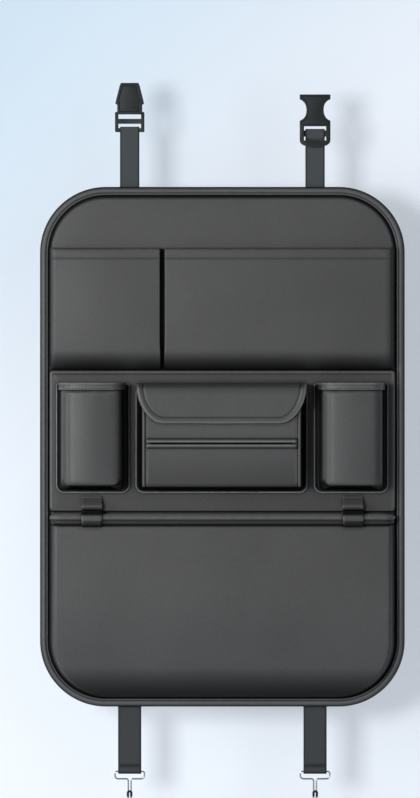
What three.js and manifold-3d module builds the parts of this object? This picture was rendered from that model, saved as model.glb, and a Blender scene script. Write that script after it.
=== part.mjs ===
// Car seat back organizer, in millimetres with +Z up.
// X runs across the panel, the rear of the panel lies on Y = 0 and the pockets face -Y.
// A depth is a distance in front of that rear face, so a depth d lies at Y = -d.

import * as THREE from 'three';
import { mergeVertices } from 'three/addons/utils/BufferGeometryUtils.js';
import Module from 'manifold-3d';

const wasm = await Module();
wasm.setup();

// Gap between pieces that are cut to fit each other
const clearance = 0.3;

// Panel: lining, board, padded face and binding
const panelWidth = 421;
const panelHeight = 600;
const panelCorner = 76;
const liningThickness = 1.2;
const boardThickness = 2.5;
const skirtThickness = 1;
const facePadding = 2.3;
const faceRounding = 8;
const bindingWidth = 10;
const bindingWall = 1.5;
const bindingDepth = 9;
const bindingRounding = 3.6;

// Upper pockets
const topMouthHeight = 228.9;
const topPocketSwell = 12.5;
const topPocketThickness = 2.2;
const pocketHemHeight = 10.4;
const pocketHemExtra = 0.9;
const pocketInset = 11.3;
const pocketShoulder = 12;
const pocketRows = 7;
const topPocketFootShoulder = 20;
const dividerX = -69.2;
const dividerWidth = 4.4;

// Middle panel, which carries the cups and the box
const middleTop = 88;
const middleBottom = -75.5;
const middleThickness = 6;
const middleRounding = 1.8;
const frontCentreX = -1;

// Cup pockets
const cupSideInset = 60.9;
const cupSpacing = panelWidth / 2 - cupSideInset;
const cupFlangeWidth = 83;
const cupFlangeLip = 3.5;
const flangeThickness = 1.6;
const flangeBottom = -53.6;
const flangeCorner = 10;
const cupProjection = 50;
const cupWall = 2.4;
const cupSideTaper = 0.08;
const cupFootTaper = 0.045;
const cupEdgeRounding = 9;
const cupMouthHeight = 65.1;
const rimHeight = 9;
const rimExtra = 0.8;

// Centre box
const flangeGap = 8.45;
const boxFlangeWidth = 2 * (cupSpacing - cupFlangeWidth / 2 - flangeGap);
const boxFlangeLip = 3.4;
const boxProjection = 38;
const boxWall = 2.4;
const boxSideTaper = 0.057;
const boxFootTaper = 0.04;
const boxTop = 70.9;
const boxFrontThickness = 2.2;
const boxCorner = 6;
const boxSeamExtra = 1;
const pipingRadius = 1.7;
const frontCorner = 1;
const slitHeight = 4.2;
const slitGap = 0.8;
const slitSideInset = 13.65;
const slitWidth = boxFlangeWidth - 2 * slitSideInset;
const slitEnd = 4;
const lipHeight = 5.8;
const lipThickness = 1.4;
const lipRounding = 0.5;
const slitOpening = 6;

// Flap over the box
const flapSideInset = 2.65;
const flapWidth = boxFlangeWidth - 2 * flapSideInset;
const flapThickness = 2;
const flapDrop = 46;
const flapEndLength = 32;
const flapBend = 5;

// Lower pocket with its bead
const beadHeight = 12.6;
const beadDepth = 13;
const beadGap = 1.6;
const beadStandOff = 5;
const beadBend = 11;
const lowerPocketThickness = 2.4;
const lowerPocketSwell = 6;
const lowerFootShoulder = 34;
const lowerPocketRows = 12;
const sheetToBead = 0.4;

// Closure tabs
const tabSideInset = 60.2;
const tabSpacing = panelWidth / 2 - tabSideInset;
const tabWidth = 24;
const tabThickness = 1.8;
const tabTop = -57;
const tabSewn = 2.5;
const tabSlope = 11;
const tabHump = 9;
const tabReturn = 4;
const tabTuck = 6;
const tabBend = 2.5;
const tabDipBend = 1.5;
const tabOverBend = 4.5;

// Straps
const strapSideInset = 103.4;
const strapSpacing = panelWidth / 2 - strapSideInset;
const topStrapWidth = 22.4;
const topStrapThickness = 1.5;
const bottomStrapWidth = 26.8;
const bottomStrapThickness = 1.6;
const strapLap = 9.5;
const strapTail = 26;

// Plain half of the buckle, held in a loop of the left strap
const maleBarHeight = 365.9;
const maleBarTall = 4.4;
const maleBarThick = 3;
const maleFrameWidth = 34;
const maleRail = 3.9;
const maleFrameThick = 6;
const maleHeadThick = 10;
const maleCrossbarTall = 5.5;
const maleSlotTall = 5.2;
const maleWindowTall = 5.5;
const maleNeckTall = 11;
const maleNeckWidth = 28.8;
const maleBarbTall = 25;
const maleBarbWidth = 33;
const maleTipWidth = 20;
const maleSlit = 0.9;
const maleSkin = 1.2;
const maleTongueWidth = 13;

// Socket half of the buckle, threaded on the right strap
const femaleBarHeight = 361.8;
const femaleBarTall = 7.2;
const femaleBarThick = 2;
const femaleBarRounding = 0.85;
const femaleWidth = 35.4;
const femaleThick = 12;
const femaleFrameThick = 9;
const femaleWindowWidth = 25.6;
const femaleSlotTall = 4.9;
const femaleThreadGap = 4.6;
const threadLead = 0.9;
const femaleCrescentTall = 8.5;
const femaleBodyTall = 36.4;
const femaleCollarTall = 5;
const femaleWaist = 19.6;
const femaleShoulderTall = 6;
const femaleSocketDepth = 26;
const femaleSocketWidth = 27;
const femaleSocketThick = 6;

// Wire hooks
const wireRadius = 0.9;
const hookBarHeight = -375.4;
const hookWidth = 34;
const hookFrameTall = 8.6;
const hookLegGap = 3.3;
const hookLength = 33;
const hookReach = 9;
const hookTipRise = 10.7;
const hookTipWidth = 4.2;
const hookButtGap = 0.4;
const tipCoatThickness = 0.35;
const tipCoatClearance = 0.15;

// Worked out from the sizes above
const boardFront = liningThickness + boardThickness;
const skirtFront = boardFront + skirtThickness;
const faceFront = skirtFront + facePadding;
const middleFront = faceFront + middleThickness;
const panelTop = panelHeight / 2;
const panelBottom = -panelHeight / 2;
const boxFrontBack = middleFront + boxProjection + clearance;
const boxFrontFace = boxFrontBack + boxFrontThickness;
const boxFrontTop = boxTop - flapBend;
const pipingCentre = middleFront + boxProjection + clearance + pipingRadius;
const flapInside = Math.max(pipingCentre + pipingRadius, boxFrontFace + lipThickness) + clearance;
const beadBack = middleFront + beadStandOff;
const beadCentreDepth = beadBack + beadDepth / 2;
const beadTop = middleBottom - beadGap;
const beadCentreHeight = beadTop - beadHeight / 2;
const beadBottom = beadTop - beadHeight;

// Finishes
const finish = (color, roughness, metalness = 0) =>
  new THREE.MeshStandardMaterial({ color, roughness, metalness });
const leatherette = () => finish(0x4c4c4b, 0.55);
const bindingLeather = () => finish(0x2b2d2e, 0.5);
const webbing = () => finish(0x3f4446, 0.85);
const mouldedPlastic = () => finish(0x2a3133, 0.4);
const liningCloth = () => finish(0x1d1e20, 0.95);
const fibreBoard = () => finish(0x6f655a, 0.9);
const steel = () => finish(0xb9bcbe, 0.25, 1);
const rubberDip = () => finish(0x17191a, 0.5);

// Solids and booleans

function solidOf(geometry) {
  geometry.deleteAttribute('normal');
  geometry.deleteAttribute('uv');
  const merged = mergeVertices(geometry, 1e-4);
  return new wasm.Manifold(new wasm.Mesh({
    numProp: 3,
    vertProperties: merged.attributes.position.array,
    triVerts: new Uint32Array(merged.index.array),
  }));
}

function geometryOf(solid) {
  const mesh = solid.getMesh();
  const geometry = new THREE.BufferGeometry();
  geometry.setAttribute('position', new THREE.BufferAttribute(mesh.vertProperties, 3));
  geometry.setIndex(new THREE.BufferAttribute(mesh.triVerts, 1));
  geometry.computeVertexNormals();
  return geometry;
}

function moveVertices(geometry, change) {
  const position = geometry.attributes.position;
  const point = new THREE.Vector3();
  for (let index = 0; index < position.count; index += 1) {
    point.fromBufferAttribute(position, index);
    change(point);
    position.setXYZ(index, point.x, point.y, point.z);
  }
  return geometry;
}

// A box between two depths and two heights, as a tool for cuts
function block(left, right, back, front, bottom, top) {
  const box = new THREE.BoxGeometry(right - left, front - back, top - bottom);
  box.translate((left + right) / 2, -(back + front) / 2, (bottom + top) / 2);
  return solidOf(box);
}

// Outlines drawn in X and Z

function roundedRect(left, right, bottom, top, radius) {
  const shape = new THREE.Shape();
  const quarter = Math.PI / 2;
  shape.absarc(right - radius, top - radius, radius, 0, quarter);
  shape.absarc(left + radius, top - radius, radius, quarter, 2 * quarter);
  shape.absarc(left + radius, bottom + radius, radius, 2 * quarter, 3 * quarter);
  shape.absarc(right - radius, bottom + radius, radius, 3 * quarter, 4 * quarter);
  return shape;
}

function panelOutline(inset) {
  const side = panelWidth / 2 - inset;
  const end = panelHeight / 2 - inset;
  return roundedRect(-side, side, -end, end, panelCorner - inset);
}

function panelHalfWidth(height, inset) {
  const corner = panelCorner - inset;
  const straight = panelHeight / 2 - panelCorner;
  const over = Math.min(corner, Math.max(0, Math.abs(height) - straight));
  return panelWidth / 2 - panelCorner + Math.sqrt(corner * corner - over * over);
}

// Turns an outline into a slab between two depths, with its front edge rounded
function slab(outline, back, front, rounding = 0, roundingDepth = rounding, segments = 6) {
  const rounded = rounding > 0;
  const geometry = new THREE.ExtrudeGeometry(outline, {
    depth: front - back,
    curveSegments: segments,
    bevelEnabled: rounded,
    bevelThickness: roundingDepth,
    bevelSize: rounding,
    bevelOffset: -rounding,
    bevelSegments: 4,
  });
  const start = rounded ? back - roundingDepth : back;
  moveVertices(geometry, (point) => point.set(point.x, -(point.z + start), point.y));
  const solid = solidOf(geometry);
  if (!rounded) return solid;
  const reach = panelHeight;
  return solid.subtract(block(-reach, reach, back - reach, back, -reach, reach));
}

// Routes through corners with rounded bends

function route(corners, bendSteps = 4) {
  const points = [];
  const add = (point) => {
    const last = points[points.length - 1];
    if (!last || last.distanceTo(point) > 0.02) points.push(point);
  };
  corners.forEach(([x, y, z, radius = 0], index) => {
    const corner = new THREE.Vector3(x, y, z);
    if (index === 0 || index === corners.length - 1 || radius === 0) {
      add(corner);
      return;
    }
    const before = new THREE.Vector3(...corners[index - 1].slice(0, 3)).sub(corner).normalize();
    const after = new THREE.Vector3(...corners[index + 1].slice(0, 3)).sub(corner).normalize();
    const angle = before.angleTo(after);
    const run = radius / Math.tan(angle / 2);
    const centre = before.clone().add(after).normalize();
    centre.multiplyScalar(radius / Math.sin(angle / 2)).add(corner);
    const first = before.multiplyScalar(run).add(corner).sub(centre);
    const last = after.multiplyScalar(run).add(corner).sub(centre);
    const turn = Math.PI - angle;
    for (let step = 0; step <= bendSteps; step += 1) {
      const share = step / bendSteps;
      const arm = first.clone().multiplyScalar(Math.sin((1 - share) * turn) / Math.sin(turn));
      arm.addScaledVector(last, Math.sin(share * turn) / Math.sin(turn));
      add(arm.add(centre));
    }
  });
  return points;
}

// A path that an extrusion follows from station to station
class StationPath extends THREE.Curve {
  constructor(stations) {
    super();
    this.stations = stations;
  }

  getPoint(share, target = new THREE.Vector3()) {
    const place = share * (this.stations.length - 1);
    const index = Math.min(Math.max(Math.floor(place), 0), this.stations.length - 2);
    return target.lerpVectors(this.stations[index], this.stations[index + 1], place - index);
  }

  getPointAt(share, target) {
    return this.getPoint(share, target);
  }

  getTangentAt(share, target) {
    return this.getTangent(share, target);
  }
}

function tube(stations, halfTall, halfWide, sides, holeRadius = 0) {
  const section = new THREE.Shape();
  section.absellipse(0, 0, halfTall, halfWide, 0, 2 * Math.PI);
  if (holeRadius > 0) {
    section.holes.push(new THREE.Path().absarc(0, 0, holeRadius, 0, 2 * Math.PI));
  }
  return solidOf(new THREE.ExtrudeGeometry(section, {
    steps: stations.length - 1,
    curveSegments: sides / 2,
    bevelEnabled: false,
    extrudePath: new StationPath(stations),
  }));
}

// An outline drawn in Y and Z, drawn out from left to right
function drawnOut(outline, left, right) {
  const geometry = new THREE.ExtrudeGeometry(outline, {
    depth: right - left,
    curveSegments: 4,
    bevelEnabled: false,
  });
  moveVertices(geometry, (point) => point.set(point.z + left, point.x, point.y));
  return solidOf(geometry);
}

// A flat ribbon of one thickness that follows a route drawn in Y and Z
function ribbon(stations, thickness, left, right) {
  const near = [];
  const far = [];
  stations.forEach((station, index) => {
    const before = stations[Math.max(index - 1, 0)];
    const after = stations[Math.min(index + 1, stations.length - 1)];
    const along = after.clone().sub(before).normalize();
    const side = new THREE.Vector2(-along.z, along.y).multiplyScalar(thickness / 2);
    near.push(new THREE.Vector2(station.y + side.x, station.z + side.y));
    far.unshift(new THREE.Vector2(station.y - side.x, station.z - side.y));
  });
  return drawnOut(new THREE.Shape([...near, ...far]), left, right);
}

// A sewn sheet that stands off the face: stations across and up, and a depth at each point
function sewnSheet(across, heights, placeAt) {
  const columns = across.length - 1;
  const rows = heights.length - 1;
  const geometry = new THREE.BoxGeometry(1, 1, 1, columns, 1, rows);
  moveVertices(geometry, (point) => {
    const share = across[Math.round((point.x + 0.5) * columns)];
    const height = heights[Math.round((point.z + 0.5) * rows)];
    const { x, depth, thickness } = placeAt(share, height);
    point.set(x, -(depth + (point.y < 0 ? thickness : 0)), height);
  });
  return solidOf(geometry);
}

// Shares from 0 to 1 that lie closer together towards both ends
function easedShares(count) {
  return Array.from({ length: count + 1 }, (_, index) =>
    0.5 - 0.5 * Math.cos((Math.PI * index) / count));
}

// Shares from 0 to 1 that lie closer together towards the foot
function footShares(count) {
  return Array.from({ length: count + 1 }, (_, index) =>
    1 - Math.cos((Math.PI / 2) * (index / count)));
}

// Rises from 0 at a sewn edge to 1 past the shoulder
function shoulder(distance, width) {
  return Math.sin((Math.PI / 2) * Math.min(1, Math.max(0, distance) / width));
}

// Panel layers

function backLining() {
  return slab(panelOutline(bindingWidth + clearance), 0, liningThickness);
}

function stiffenerBoard() {
  return slab(panelOutline(bindingWall + clearance), liningThickness, boardFront);
}

function facePanel() {
  const skirt = slab(panelOutline(bindingWall + clearance), boardFront, skirtFront);
  const pad = slab(panelOutline(bindingWidth + clearance), boardFront, faceFront,
    faceRounding, facePadding);
  return skirt.add(pad);
}

function edgeBinding() {
  const whole = slab(panelOutline(0), 0, bindingDepth, bindingRounding, bindingRounding, 8);
  const core = slab(panelOutline(bindingWall), liningThickness, skirtFront + clearance);
  const window = slab(panelOutline(bindingWidth), -1, bindingDepth + 1);
  return whole.subtract(core).subtract(window);
}

// Upper pockets

function topPocket(left, right) {
  const foot = middleTop + clearance;
  const hemLine = topMouthHeight - pocketHemHeight;
  const heights = footShares(pocketRows).map((share) => foot + share * (hemLine - foot));
  heights.push(hemLine + clearance, topMouthHeight);
  return sewnSheet(easedShares(14), heights, (share, height) => {
    const x = left + share * (right - left);
    const rise = shoulder(Math.min(x - left, right - x), pocketShoulder)
      * shoulder(height - foot, topPocketFootShoulder);
    const thickness = topPocketThickness + (height > hemLine ? pocketHemExtra : 0);
    return { x, depth: faceFront + topPocketSwell * rise, thickness };
  });
}

// Middle panel

function middlePanel() {
  const side = panelWidth / 2 - pocketInset;
  const outline = roundedRect(-side, side, middleBottom, middleTop, 2 * middleRounding);
  return slab(outline, faceFront, middleFront, middleRounding, middleRounding, 3);
}

// Cups and box: tapered shells that stand on the middle panel

const blankTop = cupMouthHeight + 2 * rimHeight + cupEdgeRounding;

function taperedBlock({ centreX, halfWidth, foot, projection, corner, rounding, sideTaper, footTaper }) {
  const outline = roundedRect(centreX - halfWidth, centreX + halfWidth,
    foot, blankTop + corner + rounding, corner);
  const geometry = new THREE.ExtrudeGeometry(outline, {
    depth: projection,
    curveSegments: 4,
    bevelEnabled: true,
    bevelThickness: rounding,
    bevelSize: rounding,
    bevelOffset: -rounding,
    bevelSegments: 4,
  });
  moveVertices(geometry, (point) => {
    const out = point.z - rounding;
    const share = out / projection;
    const x = centreX + (point.x - centreX) * (1 - sideTaper * share);
    const z = cupMouthHeight + (point.y - cupMouthHeight) * (1 - footTaper * share);
    point.set(x, -(middleFront + out), z);
  });
  return solidOf(geometry);
}

function cupBlock(centreX, offset) {
  return taperedBlock({
    centreX,
    halfWidth: cupFlangeWidth / 2 - cupFlangeLip + offset,
    foot: flangeBottom + cupFlangeLip - offset,
    projection: cupProjection + offset,
    corner: flangeCorner + offset,
    rounding: cupEdgeRounding + offset,
    sideTaper: cupSideTaper,
    footTaper: cupFootTaper,
  });
}

function flange(centreX, width) {
  const outline = roundedRect(centreX - width / 2, centreX + width / 2,
    flangeBottom, blankTop, flangeCorner);
  return slab(outline, middleFront, middleFront + flangeThickness);
}

// Keeps what lies between the middle panel and a depth, and between two heights
function keepInside(solid, front, bottom, top) {
  const half = panelWidth / 2;
  return solid.intersect(block(-half, half, middleFront, front, bottom, top));
}

const cupReach = middleFront + cupProjection + 2 * rimExtra;

function cupPocket(centreX) {
  const walls = cupBlock(centreX, 0).add(flange(centreX, cupFlangeWidth));
  const hollow = cupBlock(centreX, -cupWall);
  return keepInside(walls.subtract(hollow), cupReach, flangeBottom, cupMouthHeight);
}

function cupRim(centreX) {
  const band = cupBlock(centreX, rimExtra).subtract(cupBlock(centreX, -cupWall));
  return keepInside(band, cupReach, cupMouthHeight, cupMouthHeight + rimHeight);
}

const boxHalfWidth = boxFlangeWidth / 2 - boxFlangeLip;
const boxFoot = flangeBottom + boxFlangeLip;
const boxFrontHalf = boxHalfWidth * (1 - boxSideTaper);
const boxFrontFoot = cupMouthHeight + (boxFoot - cupMouthHeight) * (1 - boxFootTaper);

// The rounded end lies past the front seam, so the kept walls run straight to it
function boxBlock(offset) {
  return taperedBlock({
    centreX: frontCentreX,
    halfWidth: boxHalfWidth + offset,
    foot: boxFoot - offset,
    projection: boxProjection + boxSeamExtra,
    corner: boxCorner + offset,
    rounding: boxSeamExtra,
    sideTaper: boxSideTaper,
    footTaper: boxFootTaper,
  });
}

function boxGusset() {
  const walls = boxBlock(0).add(flange(frontCentreX, boxFlangeWidth));
  const shell = walls.subtract(boxBlock(-boxWall));
  return keepInside(shell, middleFront + boxProjection, flangeBottom, boxTop);
}

function boxFront() {
  const half = boxFrontHalf - 2 * pipingRadius - clearance;
  const plate = slab(roundedRect(frontCentreX - half, frontCentreX + half,
    boxFrontFoot, boxFrontTop, frontCorner), boxFrontBack, boxFrontFace);
  const slotHalf = slitWidth / 2 - slitEnd;
  const slot = block(frontCentreX - slotHalf, frontCentreX + slotHalf,
    boxFrontBack - 1, boxFrontFace + 1,
    slitHeight - slitOpening / 2, slitHeight + slitOpening / 2);
  return plate.subtract(slot);
}

function boxPiping(side) {
  const length = boxFrontTop - boxFrontFoot;
  const rod = new THREE.CylinderGeometry(pipingRadius, pipingRadius, length, 12);
  moveVertices(rod, (point) => point.set(point.x, -point.z, point.y));
  rod.translate(frontCentreX + side * (boxFrontHalf - pipingRadius), -pipingCentre,
    (boxFrontTop + boxFrontFoot) / 2);
  return solidOf(rod);
}

function slitLip(side) {
  const near = slitHeight + side * (slitGap / 2);
  const far = near + side * lipHeight;
  const outline = roundedRect(frontCentreX - slitWidth / 2, frontCentreX + slitWidth / 2,
    Math.min(near, far), Math.max(near, far), lipRounding + 0.1);
  return slab(outline, boxFrontFace, boxFrontFace + lipThickness, lipRounding, lipRounding, 2);
}

function boxFlap() {
  const top = boxTop + clearance + flapThickness;
  const outside = flapInside + flapThickness;
  const left = frontCentreX - flapWidth / 2;
  const right = frontCentreX + flapWidth / 2;
  const stations = route([
    [0, -middleFront, top - flapThickness / 2],
    [0, -(outside - flapThickness / 2), top - flapThickness / 2, flapBend],
    [0, -(outside - flapThickness / 2), top - flapDrop],
  ], 5);
  const folded = ribbon(stations, flapThickness, left, right);
  const outline = new THREE.Shape();
  outline.moveTo(right, top + 1);
  outline.lineTo(left, top + 1);
  outline.lineTo(left, top);
  outline.absellipse(left + flapEndLength, top, flapEndLength, flapDrop,
    Math.PI, 1.5 * Math.PI);
  outline.absellipse(right - flapEndLength, top, flapEndLength, flapDrop,
    1.5 * Math.PI, 2 * Math.PI);
  return folded.intersect(slab(outline, middleFront, outside + 1, 0, 0, 8));
}

// Lower pocket

function bottomPocket() {
  const foot = panelBottom + pocketInset;
  const mouth = beadBottom - sheetToBead;
  const stand = beadCentreDepth - lowerPocketThickness / 2 - faceFront;
  const heights = footShares(lowerPocketRows).map((share) => foot + share * (mouth - foot));
  return sewnSheet(easedShares(18), heights, (share, height) => {
    const half = panelHalfWidth(height, pocketInset);
    const x = half * (2 * share - 1);
    const up = (height - foot) / (mouth - foot);
    const rise = shoulder(half - Math.abs(x), pocketShoulder)
      * shoulder(height - foot, lowerFootShoulder);
    const swell = stand + lowerPocketSwell * Math.sin(Math.PI * up);
    return { x, depth: faceFront + swell * rise, thickness: lowerPocketThickness };
  });
}

function bottomPocketHem() {
  const side = panelWidth / 2 - pocketInset - beadDepth / 2;
  const seat = -(faceFront + clearance);
  const stations = route([
    [-side, seat, beadCentreHeight],
    [-side, -beadCentreDepth, beadCentreHeight, beadBend],
    [side, -beadCentreDepth, beadCentreHeight, beadBend],
    [side, seat, beadCentreHeight],
  ], 6);
  return tube(stations, beadHeight / 2, beadDepth / 2, 16);
}

function closureTab(centreX) {
  const half = tabThickness / 2;
  const flat = -(middleFront + half);
  const over = beadTop + clearance + half;
  const front = -(beadBack + beadDepth + clearance + half);
  const under = beadBottom - clearance - half;
  const stations = route([
    [0, flat, tabTop],
    [0, flat, tabTop - tabSewn, tabBend],
    [0, flat - tabHump, tabTop - tabSlope, tabBend],
    [0, flat - tabHump + tabReturn, over + clearance, tabDipBend],
    [0, front, over, tabOverBend],
    [0, front, under, tabBend],
    [0, front + tabTuck, under],
  ]);
  return ribbon(stations, tabThickness, centreX - tabWidth / 2, centreX + tabWidth / 2);
}

// Straps, sewn to the rear of the binding and looped at their ends

function topStrapLeft() {
  const half = topStrapThickness / 2;
  const gap = clearance + half;
  const front = half;
  const back = front + 2 * gap + maleBarThick;
  const crown = maleBarHeight + maleBarTall / 2 + gap;
  const tail = front + topStrapThickness + clearance;
  const stations = route([
    [0, front, panelTop - strapLap],
    [0, front, crown, gap + clearance],
    [0, back, crown, gap + clearance],
    [0, back, maleBarHeight - maleBarTall, 2],
    [0, tail, maleBarHeight - maleBarTall - 8, 2],
    [0, tail, maleBarHeight - strapTail],
  ]);
  return ribbon(stations, topStrapThickness,
    -strapSpacing - topStrapWidth / 2, -strapSpacing + topStrapWidth / 2);
}

function topStrapRight() {
  const half = topStrapThickness / 2;
  const gap = clearance + half;
  const reach = femaleBarThick / 2 + gap;
  const barBottom = femaleBarHeight - femaleBarTall / 2;
  const crown = femaleBarHeight + femaleBarTall / 2 + gap;
  const tail = half + topStrapThickness + clearance;
  const stations = route([
    [0, half, panelTop - strapLap],
    [0, half, barBottom - femaleThreadGap + threadLead, 1.2],
    [0, -reach, barBottom - threadLead, 1.2],
    [0, -reach, crown, reach - 0.01],
    [0, reach, crown, reach - 0.01],
    [0, reach, barBottom - femaleThreadGap, 2],
    [0, tail, barBottom - femaleThreadGap - 4, 2],
    [0, tail, barBottom - strapTail],
  ]);
  return ribbon(stations, topStrapThickness,
    strapSpacing - topStrapWidth / 2, strapSpacing + topStrapWidth / 2);
}

function bottomStrap(centreX) {
  const half = bottomStrapThickness / 2;
  const loop = wireRadius + clearance + half;
  const front = half;
  const back = front + 2 * loop;
  const crown = hookBarHeight - loop;
  const tail = front + bottomStrapThickness + clearance;
  const stations = route([
    [0, front, panelBottom + strapLap],
    [0, front, crown, loop - 0.01],
    [0, back, crown, loop - 0.01],
    [0, back, hookBarHeight + 1, 1.5],
    [0, tail, hookBarHeight + 6, 1.5],
    [0, tail, hookBarHeight + strapTail],
  ]);
  return ribbon(stations, bottomStrapThickness,
    centreX - bottomStrapWidth / 2, centreX + bottomStrapWidth / 2);
}

// Buckle halves

const maleCentreY = topStrapThickness / 2 + clearance + topStrapThickness / 2 + maleBarThick / 2;

function buckleMale() {
  const x = -strapSpacing;
  const bottom = maleBarHeight - maleBarTall / 2;
  const slotBottom = maleBarHeight + maleBarTall / 2;
  const crossBottom = slotBottom + maleSlotTall;
  const windowBottom = crossBottom + maleCrossbarTall;
  const neckBottom = windowBottom + maleWindowTall;
  const barbBottom = neckBottom + maleNeckTall;
  const tip = barbBottom + maleBarbTall;
  const depth = -maleCentreY;
  const frameHalf = maleFrameThick / 2;
  const headHalf = maleHeadThick / 2;
  const inner = maleFrameWidth / 2 - maleRail;
  const frame = slab(roundedRect(x - maleFrameWidth / 2, x + maleFrameWidth / 2,
    bottom, neckBottom + 2.5, 1.2), depth - frameHalf, depth + frameHalf, 0, 0, 2);
  const headOutline = new THREE.Shape([
    new THREE.Vector2(x + maleNeckWidth / 2, neckBottom),
    new THREE.Vector2(x + maleNeckWidth / 2, barbBottom),
    new THREE.Vector2(x + maleBarbWidth / 2, barbBottom + 1.2),
    new THREE.Vector2(x + maleBarbWidth / 2 - 0.7, barbBottom + 5),
    new THREE.Vector2(x + maleTipWidth / 2 + 1.5, tip - 3),
    new THREE.Vector2(x + maleTipWidth / 2, tip),
    new THREE.Vector2(x - maleTipWidth / 2, tip),
    new THREE.Vector2(x - maleTipWidth / 2 - 1.5, tip - 3),
    new THREE.Vector2(x - maleBarbWidth / 2 + 0.7, barbBottom + 5),
    new THREE.Vector2(x - maleBarbWidth / 2, barbBottom + 1.2),
    new THREE.Vector2(x - maleNeckWidth / 2, barbBottom),
    new THREE.Vector2(x - maleNeckWidth / 2, neckBottom),
  ]);
  let buckle = frame.add(slab(headOutline, depth - headHalf, depth + headHalf, 1.2, 1.2));
  const through = [depth - headHalf - 1, depth + headHalf + 1];
  buckle = buckle.subtract(block(x - inner, x + inner, ...through, slotBottom, crossBottom));
  buckle = buckle.subtract(block(x - inner, x + inner, ...through, windowBottom, neckBottom));
  const barHalf = maleBarThick / 2;
  const slack = topStrapWidth / 2 + clearance;
  for (const [back, front] of [[depth - headHalf, depth - barHalf], [depth + barHalf, depth + headHalf]]) {
    buckle = buckle.subtract(block(x - slack, x + slack, back, front, bottom - 1, slotBottom + 1));
  }
  // The slits between the prongs open to the rear, under the head's plain front
  for (const side of [-1, 1]) {
    const slit = x + side * (maleTongueWidth / 2);
    buckle = buckle.subtract(block(slit - maleSlit / 2, slit + maleSlit / 2,
      depth - headHalf - 1, depth + headHalf - maleSkin, barbBottom - 2, tip + 1));
  }
  return buckle;
}

function buckleFemale() {
  const x = strapSpacing;
  const half = femaleWidth / 2;
  const barTop = femaleBarHeight + femaleBarTall / 2;
  const barBottom = femaleBarHeight - femaleBarTall / 2;
  const windowTop = barTop + femaleSlotTall;
  const windowBottom = barBottom - femaleThreadGap;
  const foot = windowBottom - femaleCrescentTall;
  const top = windowTop + femaleBodyTall;
  const waistTop = top - femaleCollarTall;
  const waistBottom = windowTop + femaleShoulderTall;
  const waistMiddle = (waistTop + waistBottom) / 2;
  const dip = half - femaleWaist / 2;
  const outline = new THREE.Shape();
  outline.moveTo(x + half, windowBottom);
  outline.lineTo(x + half, waistBottom);
  outline.quadraticCurveTo(x + half - dip, waistBottom + 3, x + half - dip, waistMiddle);
  outline.quadraticCurveTo(x + half - dip, waistTop - 3, x + half, waistTop);
  outline.lineTo(x + half, top);
  outline.lineTo(x - half, top);
  outline.lineTo(x - half, waistTop);
  outline.quadraticCurveTo(x - half + dip, waistTop - 3, x - half + dip, waistMiddle);
  outline.quadraticCurveTo(x - half + dip, waistBottom + 3, x - half, waistBottom);
  outline.lineTo(x - half, windowBottom);
  outline.quadraticCurveTo(x - half, foot + 2, x, foot);
  outline.quadraticCurveTo(x + half, foot + 2, x + half, windowBottom);
  const depthHalf = femaleThick / 2;
  const frameHalf = femaleFrameThick / 2;
  const inner = femaleWindowWidth / 2;
  let buckle = slab(outline, -depthHalf, depthHalf, 1.2, 1.2, 5);
  const wide = half + 1;
  const shoulderLine = windowTop + 1;
  buckle = buckle.subtract(block(x - wide, x + wide, frameHalf, depthHalf + 1, foot - 1, shoulderLine));
  buckle = buckle.subtract(block(x - wide, x + wide, -depthHalf - 1, -frameHalf, foot - 1, shoulderLine));
  buckle = buckle.subtract(block(x - inner, x + inner, -depthHalf - 1, depthHalf + 1,
    windowBottom, windowTop));
  buckle = buckle.subtract(block(x - inner, x + inner, -depthHalf - 1, clearance,
    foot - 1, windowBottom + 1));
  buckle = buckle.subtract(block(x - femaleSocketWidth / 2, x + femaleSocketWidth / 2,
    -femaleSocketThick / 2, femaleSocketThick / 2, top - femaleSocketDepth, top + 1));
  const barHalf = femaleBarThick / 2;
  const bar = drawnOut(roundedRect(-barHalf, barHalf, barBottom, barTop, femaleBarRounding),
    x - inner - 1, x + inner + 1);
  return buckle.add(bar);
}

// Wire hooks: one bent wire with a dipped end

const hookBarY = bottomStrapThickness / 2 + wireRadius + clearance + bottomStrapThickness / 2;
const hookTipLine = -hookLength + hookTipRise;

function hookWire(x) {
  const y = hookBarY;
  const z = hookBarHeight;
  const side = hookWidth / 2;
  const leg = hookLegGap / 2;
  const tip = hookTipWidth / 2;
  const front = y - hookReach;
  const bend = hookReach / 2 - 0.01;
  const leftHalf = [
    [-hookButtGap / 2, y, 0, 0],
    [-side, y, 0, 2.4],
    [-side, y, -hookFrameTall, 3.8],
    [-leg, y, -hookFrameTall, 2.4],
    [-leg, y, -hookLength, bend],
    [-leg, front, -hookLength, bend],
    [-tip, front, hookTipLine, tip - 0.2],
  ];
  const rightHalf = leftHalf.map(([px, py, pz, radius]) => [-px, py, pz, radius]).reverse();
  const corners = [...leftHalf, ...rightHalf].map(([px, py, pz, radius]) =>
    [x + px, py, z + pz, radius]);
  return tube(route(corners, 5), wireRadius, wireRadius, 8);
}

function hookTip(x) {
  const front = hookBarY - hookReach;
  const leg = hookLegGap / 2;
  const tip = hookTipWidth / 2;
  const start = hookReach / 2 + clearance;
  const startX = leg + (tip - leg) * (start / hookTipRise);
  const foot = hookBarHeight - hookLength + start;
  const crown = hookBarHeight + hookTipLine;
  const corners = [
    [x - startX, front, foot],
    [x - tip, front, crown, tip - 0.2],
    [x + tip, front, crown, tip - 0.2],
    [x + startX, front, foot],
  ];
  const inside = wireRadius + tipCoatClearance;
  const outside = inside + tipCoatThickness;
  return tube(route(corners, 5), outside, outside, 8, inside);
}

// The assembly

const organizer = new THREE.Group();
organizer.name = 'car_seat_back_organizer';

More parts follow.
